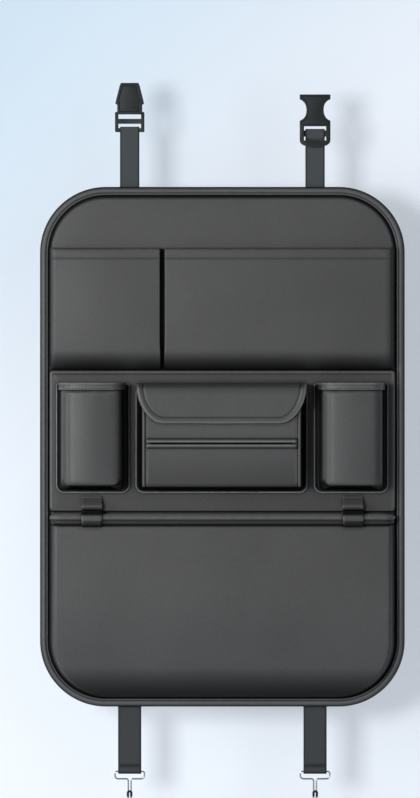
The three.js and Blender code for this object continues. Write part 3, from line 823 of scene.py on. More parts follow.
@dataclass(frozen=True)
class PlatedWire(Coat):
    """Bright plated steel wire, with duller patches."""

    tone: float = 0.42
    dull_share: float = 0.6

    def build(self) -> bpy.types.Material:
        """Builds the material."""
        material, tree, shader = blank_material(self.name)
        haze = tree.noise(700.0, 4.0)
        dull = tree.ramp(haze, 0.35, 0.75, 0.0, 0.4)
        tree.feed(shader, {
            "Base Color": tree.blend(dull, self.shade(), self.shade(self.dull_share)),
            "Roughness": tree.ramp(haze, 0.3, 0.7, 0.16, 0.3),
            "Metallic": 1.0})
        return material


@dataclass(frozen=True)
class PlainCloth(Coat):
    """Matt woven cloth or pressed fibre."""

    tint: tuple[float, float, float] = (1.0, 1.0, 1.04)
    pitch: float = 0.0009
    gap_share: float = 0.5

    def build(self) -> bpy.types.Material:
        """Builds the material."""
        material, tree, shader = blank_material(self.name)
        weave = effect(tree, Effect.WEAVE, {"Rib Pitch": self.pitch, "Pick Pitch": self.pitch})
        gaps = tree.math("MULTIPLY", weave["Gap"], 0.4)
        tree.feed(shader, {
            "Base Color": tree.blend(gaps, self.shade(), self.shade(self.gap_share)),
            "Roughness": tree.ramp(weave["Fuzz"], 0.0, 1.0, 0.85, 0.97),
            "Normal": tree.bump(weave["Height"], 0.35, 0.0002)})
        return material


class Finish(Enum):
    """The object's finishes, each with its name."""

    LEATHERETTE = "leatherette"
    BINDING = "binding"
    LINING = "lining"
    BOARD = "board"
    WEBBING = "webbing"
    PLASTIC = "buckle_plastic"
    WIRE = "steel_wire"
    DIP = "dipped_coat"
    THREAD = "thread"


FINISHES = {
    Finish.LEATHERETTE: Leatherette("leatherette", tone=0.064),
    Finish.BINDING: Leatherette("binding_leatherette", tone=0.074, tint=(0.96, 1.0, 1.03),
                                roughness=0.44),
    Finish.LINING: PlainCloth("lining_cloth", tone=0.045),
    Finish.BOARD: PlainCloth("fibre_board", tone=0.14, tint=(1.15, 1.0, 0.8), pitch=0.0013),
    Finish.WEBBING: Webbing("webbing", tone=0.063),
    Finish.PLASTIC: MouldedPlastic("buckle_plastic", tone=0.014),
    Finish.WIRE: PlatedWire("plated_wire"),
    Finish.DIP: MouldedPlastic("dipped_coat", tone=0.012, roughness=0.45),
    Finish.THREAD: Webbing("sewing_thread", tone=0.02, rib_pitch=0.0004, pick_pitch=0.0003),
}
SLOTS = {Finish.THREAD: "leatherette"}
_built: dict[Finish, bpy.types.Material] = {}


def dress(piece: bpy.types.Object, finish: Finish) -> None:
    """Gives a piece its finish in its only material slot."""
    if finish not in _built:
        _built[finish] = FINISHES[finish].build()
    piece.data.materials.clear()
    piece.data.materials.append(_built[finish])


def settle(piece: bpy.types.Object, finish: Finish, body: str = ROOT,
           replaces: Sequence[str] = ()) -> bpy.types.Object:
    """Dresses a piece, puts it on its body and hides the nodes it stands for.

    Args:
        piece: the piece.
        finish: its finish.
        body: the body it rides on.
        replaces: nodes that it stands for.

    Returns:
        The piece.
    """
    dress(piece, finish)
    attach(piece, body)
    if replaces:
        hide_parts(*replaces)
    SLOTS.get(finish, finish.value)
    log.info("%s: %d faces on %s", piece.name, len(piece.data.polygons), body)
    return piece


# Sewing


@dataclass
class Seam:
    """A row of stitches that lies on a surface along a line."""

    name: str
    line: Array
    outward: tuple[float, float, float] = (0.0, 1.0, 0.0)
    length: float = 2.8
    gap: float = 1.2
    radius: float = 0.28
    sides: int = 6

    def build(self) -> bpy.types.Object:
        """Makes the stitches as small domed threads, joined into one piece."""
        pitch = self.length + self.gap
        even = resampled(self.line, pitch)
        out = np.array(self.outward, float)
        points: list[Array] = []
        faces: list[tuple[int, ...]] = []
        for start, end in zip(even[:-1], even[1:]):
            along = end - start
            if np.linalg.norm(along) < 1e-6:
                continue
            along /= np.linalg.norm(along)
            beside = np.cross(along, out)
            beside /= max(np.linalg.norm(beside), 1e-9)
            lift = np.cross(beside, along)
            first = len(points)
            profile = ((0.0, 0.35, -0.35), (0.12, 0.95, 0.15), (0.5, 1.0, 0.3),
                       (0.88, 0.95, 0.15), (1.0, 0.35, -0.35))
            for share, scale, rise in profile:
                centre = start + along * (share * self.length) + lift * rise * self.radius
                for side in range(self.sides):
                    angle = 2 * math.pi * side / self.sides
                    points.append(centre + (beside * math.cos(angle) + lift * math.sin(angle))
                                  * self.radius * scale)
            faces += grid_faces(len(profile), self.sides, first, wrap=True)
            last = first + (len(profile) - 1) * self.sides
            faces += [cap_face(first, self.sides, True), cap_face(last, self.sides)]
        return settle(mesh_piece(self.name, np.array(points), faces), Finish.THREAD)


# Panel


@dataclass
class Panel:
    """Lining, padded face and rolled binding."""

    corner: float = 76.0
    binding_width: float = 10.0
    binding_depth: float = 9.0
    wall: float = 1.5
    face_inset: float = 9.8
    face_shoulder: float = 4.5
    valley_width: float = 1.2
    stitch_inset: float = 7.4
    corner_steps: int = 28
    side_steps: int = 26

    def __post_init__(self) -> None:
        """Reads the panel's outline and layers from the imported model."""
        low, high = cad_box_mm("edge_binding")
        self.outline = RoundedRect(low.x, high.x, low.z, high.z, self.corner)
        self.face_depth = -cad_box_mm("face_panel")[0].y
        self.lining_depth = -cad_box_mm("back_lining")[0].y

    def ring(self, inset: float, depth: float) -> Array:
        """Gives the panel's outline at one inset and depth."""
        return self.outline.ring(inset, depth, corner_steps=self.corner_steps,
                                 side_steps=self.side_steps)

    def binding(self) -> None:
        """Builds the rolled binding with its sewn line."""
        width, deep = self.binding_width, self.binding_depth
        profile = [(width, 0.0), (width * 0.5, 0.0), (2.6, 0.0), (1.1, 0.5), (0.35, 1.5),
                   (0.05, 3.0), (0.0, 4.4), (0.25, 6.0), (0.9, 7.3), (2.0, 8.3), (3.4, 8.85),
                   (4.8, deep), (5.9, 8.8), (6.7, 8.35), (7.1, 7.9), (7.5, 7.85), (7.9, 8.15),
                   (8.6, 8.2), (9.3, 7.8), (9.8, 7.0), (width, 6.0), (width, 5.3),
                   (9.2, 5.1), (5.0, 5.0), (self.wall, 5.0), (self.wall, 3.0),
                   (self.wall, self.lining_depth + 0.1), (5.0, self.lining_depth + 0.1),
                   (width, self.lining_depth)]
        rings = [self.ring(inset, depth) for inset, depth in profile]
        # Painted shade along the outer edge and in the grooves, slight painted highlights on the
        # roll's crown
        painted_shading = [0.0] * 6 + [0.7, 0.95, 0.92, 0.4, -0.05, -0.15, -0.05, 0.05, 0.4, 0.5, 0.1,
                              -0.15, 0.4, 0.95, 0.95] + [0.5] * 8
        piece = rings_piece("binding_roll", rings, close=True, painted_shading=painted_shading)
        settle(piece, Finish.BINDING, replaces=["edge_binding"])
        loop = self.ring(self.stitch_inset, 7.9)
        Seam("binding_stitches", np.vstack([loop, loop[:1]])).build()

    def face(self) -> None:
        """Builds the padded face, which swells up inside the binding."""
        back = self.lining_depth + 2.5 + 0.3
        front = self.face_depth
        rings = [self.ring(self.face_inset + 20, back), self.ring(self.face_inset, back)]
        valley = back + 0.3
        rings.append(self.ring(self.face_inset + 0.05, valley))
        rings.append(self.ring(self.face_inset + self.valley_width - 0.4, valley))
        for share in np.linspace(0.04, 1.0, 12):
            rise = math.sin(share * math.pi / 2)
            rings.append(self.ring(self.face_inset + self.valley_width + share * self.face_shoulder,
                                   valley + (front - valley) * rise))
        # Painted shade: the valley inside the binding is painted dark, fading out up the shoulder
        painted_shading = [0.97] * 4 + [0.85 * (1 - share) ** 3 for share in np.linspace(0.04, 1.0, 12)]
        rings.append(self.ring(self.face_inset + 30, front))
        piece = rings_piece("padded_face", rings, painted_shading=painted_shading + [0.0])
        settle(piece, Finish.LEATHERETTE, replaces=["face_panel"])

    def lining(self) -> None:
        """Builds the lining that closes the rear."""
        edge = self.binding_width + 0.25
        rings = [self.ring(edge + 1.0, 0.0), self.ring(edge + 0.3, 0.05), self.ring(edge, 0.35),
                 self.ring(edge, self.lining_depth - 0.1), self.ring(edge + 1, self.lining_depth)]
        piece = rings_piece("rear_lining", rings)
        settle(piece, Finish.LINING, replaces=["back_lining"])
        x, z = self.ring(edge, 0.0)[:, 0] * MM, self.ring(edge, 0.0)[:, 2] * MM
        area = abs(float(np.dot(x, np.roll(z, -1)) - np.dot(z, np.roll(x, -1)))) / 2
        float(np.ptp(x))
        float(np.ptp(z))
        loop = self.ring(self.stitch_inset, -0.05)
        Seam("rear_stitches", np.vstack([loop, loop[:1]]), outward=(0.0, -1.0, 0.0)).build()

    def build(self) -> None:
        """Builds the panel's layers."""
        self.binding()
        self.face()
        self.lining()
        dress(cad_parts["stiffener_board"], Finish.BOARD)


# Upper pockets


@dataclass
class UpperPocket:
    """A flat pocket sewn down on three sides, with a folded hem at its mouth."""

    side: str
    base_depth: float
    side_shoulder: float = 6.0
    divider_shoulder: float = 1.8
    mouth_corner: float = 3.6
    foot_shoulder: float = 22.0
    swell: float = 12.2
    crown: float = 2.0
    sheet: float = 2.2
    seat: float = 0.4
    side_lap: float = 0.6
    foot_lap: float = 1.2
    lap_height: float = 42.0
    hem: float = 11.2
    hem_groove: float = 0.75
    hem_fold: float = 0.55
    lip_drop: float = 0.9
    columns: int = 110
    rows: int = 90

    def painted_shading(self, from_left: Array, from_right: Array, above: Array, below: Array) -> Array:
        """Gives the painted shade on each point.

        Args:
            from_left: distances from the pocket's left side.
            from_right: distances from its right side.
            above: heights over its foot.
            below: distances under its mouth.

        Returns:
            The painted shade, darkest at the foot and the sides, with shade painted along the hem's
            sewn line and at the mouth's edge.
        """
        # Painted shade: the right pocket's outer side is painted dark over a wide band, where it
        # turns away from the light
        dark_left, dark_right = (2.5, 0.6) if self.side == "left" else (0.5, 14.0)
        sides = np.minimum(smooth_step(from_left, 0.0, dark_left),
                           smooth_step(from_right, 0.0, dark_right))
        painted_shading = 1 - (0.12 + 0.88 * sides) * (0.1 + 0.9 * smooth_step(above, -1.0, 27.0))
        painted_shading = np.maximum(painted_shading, 0.5 * np.exp(-((below - self.hem - 0.2) / 1.1) ** 2))
        return np.maximum(painted_shading, 0.45 * (1 - smooth_step(below, 0.8, 2.6)))

    def build(self) -> None:
        """Builds the pocket's front and its seams."""
        low, high = cad_box_mm(f"top_pocket_{self.side}")
        on_left = self.side == "left"
        foot, mouth = low.z, high.z
        u = eased(self.columns)
        z = foot + eased_from_foot(self.rows) * (mouth - foot)
        grow = self.side_lap + self.foot_lap * (1 - smooth_step(z - foot, 0.0, self.lap_height))
        left = low.x - grow * (not on_left)
        right = high.x + grow * on_left
        grid_x = left[:, None] + u[None, :] * (right - left)[:, None]
        grid_z = np.broadcast_to(z[:, None], grid_x.shape)
        at_left, at_right = self.side_shoulder, self.divider_shoulder
        if not on_left:
            at_left, at_right = at_right, at_left
        up = (grid_z - foot) / (mouth - foot)
        rise = (shoulder(grid_x - left[:, None], at_left)
                * shoulder(right[:, None] - grid_x, at_right))
        rise = rise * shoulder(grid_z - foot, self.foot_shoulder)
        belly = np.sin(np.pi * u)[None, :] * np.sin(np.pi * up * 0.9)
        depth = self.base_depth + self.seat + self.sheet + rise * (self.swell - self.crown)
        depth += self.crown * belly * rise
        below = mouth - grid_z
        depth += groove(below, self.hem, 0.7, self.hem_groove) * rise
        depth += self.hem_fold * smooth_step(below, self.hem, self.hem - 1.2) * rise
        depth -= self.lip_drop * (1 - smooth_step(below, 0.0, 1.1)) * rise
        at_divider = right[:, None] - grid_x if on_left else grid_x - left[:, None]
        short = np.clip(self.mouth_corner - at_divider, 0.0, self.mouth_corner * 0.98)
        dip = self.mouth_corner - np.sqrt(self.mouth_corner ** 2 - short ** 2)
        grid_z = grid_z - dip * smooth_step(below, 24.0, 0.0)
        front = np.stack([grid_x, depth, grid_z], axis=2)
        painted_shading = self.painted_shading(grid_x - low.x, high.x - grid_x, grid_z - foot, below)
        piece = sheet_piece(f"upper_pocket_{self.side}", front, self.sheet, painted_shading)
        settle(piece, Finish.LEATHERETTE, replaces=[f"top_pocket_{self.side}"])
        row = int(np.argmin(np.abs(z - (mouth - self.hem))))
        line = front[row, 4:-4] + np.array([0.0, 0.05, 0.0])
        Seam(f"upper_pocket_{self.side}_stitches", line).build()


def divider_seam(base_depth: float) -> None:
    """Sews down the strip of binding between the two upper pockets."""
    left_edge = cad_box_mm("top_pocket_left")[1].x + 0.15
    low, high = cad_box_mm("top_pocket_right")
    right_edge = low.x - 0.15
    strip = RoundedRect(left_edge, right_edge, low.z, high.z - 0.3, 0.6)
    steps = {"corner_steps": 3, "side_steps": 20}
    rings = [strip.ring(inset, base_depth + rise, **steps)
             for inset, rise in ((0.2, 0.02), (0.0, 0.1), (0.0, 0.2), (0.3, 0.3))]
    # The strip is painted almost black: painted shade in the gap between the two pockets
    settle(rings_piece("divider_strip", rings, painted_shading=[0.97] * 4), Finish.BINDING)
    middle = (left_edge + right_edge) / 2
    line = np.array([[middle, base_depth + 0.35, z] for z in (low.z + 3, high.z - 2)])
    Seam("divider_stitches", line).build()


# Middle panel, cups and box

# Rolled edge of a sewn border: inset and height over the panel
ROLLED_EDGE = ((1.0, 0.02), (0.1, 0.02), (0.0, 0.7), (0.15, 1.4), (0.6, 2.0), (1.2, 2.2),
               (1.8, 2.0), (2.3, 1.4), (2.7, 0.9), (3.4, 0.75), (7.0, 0.75))


def sewn_border(outline: RoundedRect, base: float) -> bpy.types.Object:
    """Makes the thin border with a rolled edge that sews a pocket to the panel."""
    rings = [outline.ring(inset, base + rise) for inset, rise in ROLLED_EDGE]
    # Painted shade beside the rolled edge and a painted highlight on its crown
    painted_shading = [0.95, 0.95, 0.9, 0.6, -0.8, -2.2, -1.2, 0.4, 0.95, 0.97, 0.97]
    return rings_piece("border", rings, painted_shading=painted_shading)


@dataclass
class MiddlePanel:
    """The padded panel that carries the cups and the box."""

    radius: float = 3.6
    stitch_inset: float = 4.2
    sewn_line_shade: float = 0.35

    def build(self) -> float:
        """Builds the panel and gives the depth of its face."""
        low, high = cad_box_mm("middle_panel")
        outline = RoundedRect(low.x, high.x, low.z, high.z, self.radius)
        back, front = -high.y, -low.y
        profile = [(1.0, back), (0.2, back), (0.0, back + 0.5), (0.0, front - 2.2),
                   (0.25, front - 1.2), (0.9, front - 0.4), (1.9, front), (3.1, front),
                   (3.8, front - 0.25), (4.2, front - 0.45), (4.6, front - 0.25),
                   (5.4, front), (12.0, front)]
        rings = [outline.ring(inset, depth, corner_steps=6, side_steps=60)
                 for inset, depth in profile]
        for ring in rings[6:]:
            at_top = smooth_step(ring[:, 2], high.z - 9.0, high.z - 5.5)
            ring[:, 1] = front - (front - ring[:, 1]) * (0.15 + 0.85 * at_top)
        # Painted shade round the edges, along the sewn line and at the foot, a painted highlight on
        # the rounded top edge
        side_shade = [0.9, 0.9, 0.9, 0.5, 0.1, -0.3, -0.3, 0.0, 0.1, 0.15, 0.15, 0.18, 0.22]
        top_shade = side_shade[:9] + [self.sewn_line_shade] + side_shade[10:]
        foot_shade = [0.97] * 6 + [0.3] + [0.2] * 6
        painted_shading = np.concatenate([
            np.where(ring[:, 2] > high.z - 8.0, at_top,
                     np.where(ring[:, 2] < low.z + 4.0, at_foot, at_side))
            for ring, at_top, at_side, at_foot in zip(rings, top_shade, side_shade, foot_shade)])
        piece = rings_piece("middle_padding", rings, painted_shading=painted_shading)
        settle(piece, Finish.LEATHERETTE, replaces=["middle_panel"])
        line = np.array([[low.x + 5, front - 0.35, high.z - self.stitch_inset],
                         [high.x - 5, front - 0.35, high.z - self.stitch_inset]])
        Seam("middle_stitches", line).build()
        return front


@dataclass
class Cup:
    """A moulded cup: a tapered open box with a sewn base border and a bound mouth."""

    side: str
    panel_depth: float
    lip: float = 3.5
    border: float = 0.8
    wall: float = 2.3
    front_round: float = 13.0
    bulge: float = 3.2
    back_round: float = 2.0
    side_taper: float = 0.105
    foot_taper: float = 0.045
    foot_round: float = 5.5
    rim_extra: float = 0.75

    def __post_init__(self) -> None:
        """Reads the cup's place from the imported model."""
        low, high = cad_box_mm(f"cup_pocket_{self.side}")
        self.low, self.high = low, high
        self.centre = (low.x + high.x) / 2
        self.half = (high.x - low.x) / 2 - self.lip
        self.foot = low.z + self.lip
        self.mouth = high.z
        self.back = self.panel_depth + self.border
        self.front = -low.y
        self.rim_top = cad_box_mm(f"cup_rim_{self.side}")[1].z

    def section(self, inset: float, height: float, back_inset: float | None = None,
                drawn_in: float = 0.12) -> Array:
        """Gives the cup's level section.

        Args:
            inset: how far the walls move in.
            height: the level before the foot's slope is put in.
            back_inset: how far the rear wall moves in, if not as the others.
            drawn_in: share of the depth over which the walls narrow.

        Returns:
            A loop of x, depth, z.
        """
        behind = inset if back_inset is None else back_inset
        steps = 9
        right, left = self.half - inset, -self.half + inset
        near, far = self.back + behind, self.front - inset
        turns = [(right, far, max(self.front_round - inset, 1.0), 0),
                 (left, far, max(self.front_round - inset, 1.0), 1),
                 (left, near, max(self.back_round - inset, 0.4), 2),
                 (right, near, max(self.back_round - inset, 0.4), 3)]
        points = []
        for x, deep, radius, number in turns:
            cx = x - math.copysign(radius, x)
            cd = deep - radius if number < 2 else deep + radius
            for step in range(steps + 1):
                angle = (number + step / steps) * math.pi / 2
                points.append((cx + radius * math.cos(angle), cd + radius * math.sin(angle)))
            if number == 0:
                points += [(cx * across, far) for across in np.linspace(0.8, -0.8, 9)]
        loop = np.array(points)
        share = (loop[:, 1] - self.panel_depth) / (self.front - self.panel_depth)
        drawn = smooth_step(share, 0.0, drawn_in)
        loop[:, 1] -= self.bulge * share * (loop[:, 0] / self.half) ** 2
        x = self.centre + loop[:, 0] * (1 - self.side_taper * drawn)
        z = self.mouth + (height - self.mouth) * (1 - self.foot_taper * drawn)
        return np.column_stack([x, loop[:, 1], z])

    def painted_shading(self, points: Array) -> Array:
        """Gives the painted shade on the cup's walls, dark towards the panel and fading out towards
        the front.
        """
        share = (points[:, 1] - self.panel_depth) / (self.front - self.panel_depth)
        return 0.97 * (1 - smooth_step(share, 0.5, 0.82))

    def outside_painted_shading(self, painted_shading: Array, points: Array, tall: Array) -> Array:
        """Paints shade on the cup's foot and on the right cup's right side, and a painted highlight
        on the left cup's right rounding.

        Args:
            painted_shading: the painted shade behind the cup's front.
            points: the outer points.
            tall: each point's level above the foot.

        Returns:
            The painted shade or highlight on each outer point.
        """
        across = (points[:, 0] - self.centre) / self.half
        corner = 5.0 * smooth_step(np.abs(across), 0.7, 0.88)
        low_side = 0.97 * (1 - smooth_step(tall - corner, 0.5, self.foot_round - 2))
        painted_shading = np.maximum(painted_shading, low_side)
        if self.side == "right":
            shaded = np.maximum(painted_shading, 0.9 * smooth_step(across, 0.68, 0.93))
        else:
            lit = smooth_step(across, 0.6, 0.75) * (1 - smooth_step(across, 0.8, 0.86))
            shaded = painted_shading - 0.3 * lit
        return np.where(painted_shading < 0.3, shaded, painted_shading)

    def shell(self) -> bpy.types.Object:
        """Builds the cup's walls and floor as one open shell."""
        levels = list(np.linspace(self.mouth - 0.1, self.foot + self.foot_round, 26))
        rings = [self.section(0.0, height) for height in levels]
        angles = [step / 6 * math.pi / 2 for step in range(7)]
        turn = [(1 - math.cos(angle), 1 - math.sin(angle)) for angle in angles]
        for inward, upward in turn[1:]:
            levels.append(self.foot + self.foot_round * upward)
            rings.append(self.section(self.foot_round * inward, levels[-1], back_inset=0.0))
        levels.append(self.foot)
        rings.append(self.section(self.foot_round + 8, self.foot, back_inset=6.0))
        floor = self.foot + self.wall
        inside = [self.section(self.wall + self.foot_round + 6, floor, back_inset=6.0)]
        inner_round = self.foot_round - 1
        for inward, upward in turn[::-1]:
            inside.append(self.section(self.wall + inner_round * inward,
                                       floor + inner_round * upward, back_inset=0.9))
        for height in np.linspace(floor + self.foot_round, self.mouth - 0.1, 20)[1:]:
            inside.append(self.section(self.wall, height, back_inset=0.9))
        columns = len(rings[0])
        outer_count = len(rings)
        stack = rings + inside
        faces = grid_faces(outer_count, columns, wrap=True)
        faces += grid_faces(len(inside), columns, outer_count * columns, wrap=True)
        faces += [cap_face((outer_count - 1) * columns, columns),
                  cap_face(outer_count * columns, columns, True)]
        top_inner = (len(stack) - 1) * columns
        for column in range(columns):
            beside = (column + 1) % columns
            faces.append((column, beside, top_inner + beside, top_inner + column))
        points = np.concatenate(stack)
        # Painted shade on the walls and foot, and painted highlight or side shade from the outer
        # points
        painted_shading = self.painted_shading(points)
        outside = slice(0, outer_count * columns)
        painted_shading[outside] = self.outside_painted_shading(painted_shading[outside], points[outside],
                                              np.repeat(levels, columns) - self.foot)
        return mesh_piece(f"cup_shell_{self.side}", points, faces, painted_shading)

    def border_piece(self) -> bpy.types.Object:
        """Builds the thin sewn border round the cup's base."""
        left, right = (0.0, 2.8) if self.side == "left" else (2.2, 1.6)
        outline = RoundedRect(self.low.x - left, self.high.x + right, self.low.z,
                              self.rim_top - 0.5, 10.0, 2.0)
        return sewn_border(outline, self.panel_depth)

    def rim(self) -> None:
        """Builds the bound mouth with its sewn crease."""
        out = -self.rim_extra
        top, foot = self.rim_top, self.mouth + 0.15
        profile = [(self.wall, foot), (out + 0.35, foot), (out + 0.05, foot + 0.4),
                   (out, foot + 1.2), (out - 0.1, top - 3.0), (out + 0.05, top - 1.0),
                   (out + 0.5, top - 0.25), (out + 1.3, top), (self.wall - 0.4, top - 0.2),
                   (self.wall + 0.1, top - 0.9), (self.wall + 0.15, foot + 1.0)]
        rings = [self.section(inset, height, back_inset=max(inset - 1.4, 0.1), drawn_in=1.0)
                 for inset, height in profile]
        # Painted highlights along the binding's upper edge and lower lip, painted shade under it
        # and inside
        painted_shading = [0.95, 0.95, 0.1, -0.7, 0.0, -0.9, -2.0, -1.2, 0.6, 0.9, 0.9]
        piece = rings_piece(f"cup_binding_{self.side}", rings, close=True, painted_shading=painted_shading)
        settle(piece, Finish.LEATHERETTE, replaces=[f"cup_rim_{self.side}"])
        loop = self.section(out - 0.05, foot + 1.9)
        front = loop[loop[:, 1] > self.back + 3.0]
        order = np.argsort(np.arctan2(front[:, 1] - self.back, front[:, 0] - self.centre))
        Seam(f"cup_binding_{self.side}_stitches", front[order]).build()

    def build(self) -> None:
        """Builds the cup."""
        piece = join_pieces(f"moulded_cup_{self.side}", [self.shell(), self.border_piece()])
        settle(piece, Finish.LEATHERETTE, replaces=[f"cup_pocket_{self.side}"])
        self.rim()


@dataclass
class CentreBox:
    """The box pocket with its gusset, slit front and flap."""

    panel_depth: float
    lip: float = 3.4
    wall: float = 2.3
    corner: float = 7.0
    side_taper: float = 0.055
    foot_taper: float = 0.04
    flap_thick: float = 2.0
    flap_fold: float = 7.0
    flap_stitch: float = 6.6
    flap_groove: float = 0.55
    flap_end: float = 32.0

    def __post_init__(self) -> None:
        """Reads the box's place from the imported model."""
        self.low, self.high = cad_box_mm("box_gusset")
        self.centre = (self.low.x + self.high.x) / 2
        self.half = (self.high.x - self.low.x) / 2 - self.lip
        self.foot = self.low.z + self.lip
        self.top = self.high.z
        self.front = -self.low.y

    def band(self, inset: float, depth: float) -> Array:
        """Gives one edge of the gusset's band: down one side, along the foot and up."""
        share = (depth - self.panel_depth) / (self.front - self.panel_depth)
        share = float(smooth_step(share, 0.0, 0.15))
        half = (self.half - inset) * (1 - self.side_taper * share)
        foot = self.top + (self.foot + inset - self.top) * (1 - self.foot_taper * share)
        radius = max(self.corner * (1 - 0.35 * share) - inset, 0.6)
        points = [(half, z) for z in np.linspace(self.top, foot + radius, 14)]
        for step in range(1, 9):
            angle = -step / 8 * math.pi / 2
            points.append((half - radius + radius * math.cos(angle),
                           foot + radius + radius * math.sin(angle)))
        side = np.array(points)
        along = np.array([(x, foot) for x in np.linspace(half - radius, -half + radius, 30)[1:-1]])
        loop = np.vstack([side, along, side[::-1] * np.array([-1, 1])])
        return np.column_stack([self.centre + loop[:, 0], np.full(len(loop), depth), loop[:, 1]])

    def gusset(self) -> None:
        """Builds the side walls and the foot as one folded band on its sewn border."""
        depths = np.concatenate([[self.panel_depth + 0.8], np.linspace(
            self.panel_depth + 3, self.front - 0.6, 16), [self.front - 0.15]])
        outer = [self.band(0.0, depth) for depth in depths]
        outer[-1] = self.band(0.45, self.front - 0.05)
        inner = [self.band(self.wall, depth) for depth in depths[::-1]]
        rows = outer + inner
        columns = len(rows[0])
        stack = np.concatenate(rows)
        # Painted shade on the side walls, darkest near the panel
        share = (stack[:, 1] - self.panel_depth) / (self.front - self.panel_depth)
        painted_shading = 0.95 * (1 - smooth_step(share, 0.6, 1.0))
        faces = grid_faces(len(rows) + 1, columns)
        count = len(rows) * columns
        faces = [tuple(index % count for index in face) for face in faces]
        for column in (0, columns - 1):
            faces.append(tuple(row * columns + column for row in range(len(rows))))
        band = mesh_piece("band", stack, faces, painted_shading)
        outline = RoundedRect(self.low.x, self.high.x, self.low.z, self.top, 10.0)
        piece = join_pieces("box_side_band", [band, sewn_border(outline, self.panel_depth)])
        settle(piece, Finish.LEATHERETTE, replaces=["box_gusset"])

    def front_panel(self) -> None:
        """Builds the front with its slit opening."""
        low, high = cad_box_mm("box_front")
        outline = RoundedRect(low.x, high.x, low.z, high.z, 1.2)
        slit = (cad_box_mm("slit_lip_upper")[0].z + cad_box_mm("slit_lip_lower")[1].z) / 2
        slot = RoundedRect(low.x + 6.0, high.x - 6.0, slit - 3.0, slit + 3.0, 0.6)
        back, front = -high.y, -low.y
        steps = {"corner_steps": 4, "side_steps": 24}
        outer = [(0.0, back), (0.0, front - 0.5), (0.2, front - 0.1), (0.6, front),
                 (1.6, front - 0.15), (2.6, front), (3.6, front)]
        inner = [(-1.6, front), (-0.3, front), (0.0, front - 0.3), (0.0, back)]
        rings = [outline.ring(inset, depth, **steps) for inset, depth in outer]
        rings += [slot.ring(inset, depth, **steps) for inset, depth in inner]
        # Painted shade along the front's foot
        foot_shade = [0.9] * 4 + [0.75, 0.6, 0.4] + [0.0] * len(inner)
        painted_shading = np.concatenate([np.where(ring[:, 2] < low.z + 4.2, dark, 0.0)
                                 for ring, dark in zip(rings, foot_shade)])
        piece = rings_piece("box_front_panel", rings, close=True, painted_shading=painted_shading)
        settle(piece, Finish.LEATHERETTE, replaces=["box_front"])

    def edge(self, side: str) -> None:
        """Builds the sewn edge where the front meets one side wall."""
        low, high = cad_box_mm(f"box_piping_{side}")
        x, deep = (low.x + high.x) / 2, -(low.y + high.y) / 2
        radius = (high.x - low.x) / 2
        line = resampled(np.array([[x, deep, low.z + 0.5], [x, deep, high.z - 0.5]]), 4)
        rod = tube_piece(f"box_edge_{side}", line, radius, radius * 1.05, 18, up=(0, 1, 0))
        settle(rod, Finish.LEATHERETTE, replaces=[f"box_piping_{side}"])

    def lip_piece(self, name: str) -> None:
        """Builds one lip of the slit, upper or lower, with its stitches."""
        low, high = cad_box_mm(f"slit_lip_{name}")
        back, face = -high.y, -low.y
        near, far = (low.z, high.z) if name == "upper" else (high.z, low.z)
        profile = [(0.0, back + 0.02), (0.03, face - 0.2), (0.12, face + 0.35),
                   (0.28, face + 0.6), (0.48, face + 0.45), (0.62, face + 0.1),
                   (0.74, face), (0.9, face - 0.2), (1.0, face - 0.6), (1.0, back + 0.02)]
        section = [(near + (far - near) * share, deep) for share, deep in profile]
        rings = [np.array([[x, deep, z] for z, deep in section])
                 for x in np.linspace(low.x, high.x, 60)]
        # Painted highlight on each lip's rounded face, painted shade at its back and in the slit
        shade = [0.95, 0.95, 0.2, -1.0, -0.5, 0.2, 0.7, 0.5, 0.8, 0.95]
        lip = rings_piece(f"slit_edge_{name}", rings, painted_shading=np.tile(shade, len(rings)))
        settle(lip, Finish.LEATHERETTE, replaces=[f"slit_lip_{name}"])
        height = near + (far - near) * 0.8
        line = np.array([[x, face + 0.05, height] for x in (low.x + 2, high.x - 2)])
        Seam(f"slit_{name}_stitches", line).build()

    def flap_curve(self, half: float, top: float, drop: float, inset: float = 0.0,
                   start: float = 0.0, steps: int = 16) -> Array:
        """Gives the flap's curved edge, or a line inside it.

        Args:
            half: half the flap's width.
            top: the height of its fold.
            drop: how far it hangs down.
            inset: how far inside the edge the line runs.
            start: angle at which it starts, from the side.
            steps: points on each side.

        Returns:
            Pairs of x from the flap's middle and z, from right to left.
        """
        angle = np.linspace(start, math.pi / 2, steps)
        right = np.column_stack([
            half - self.flap_end + (self.flap_end - inset) * np.cos(angle),
            top - (drop - inset) * np.sin(angle)])
        return np.vstack([right, (right * np.array([-1, 1]))[::-1]])

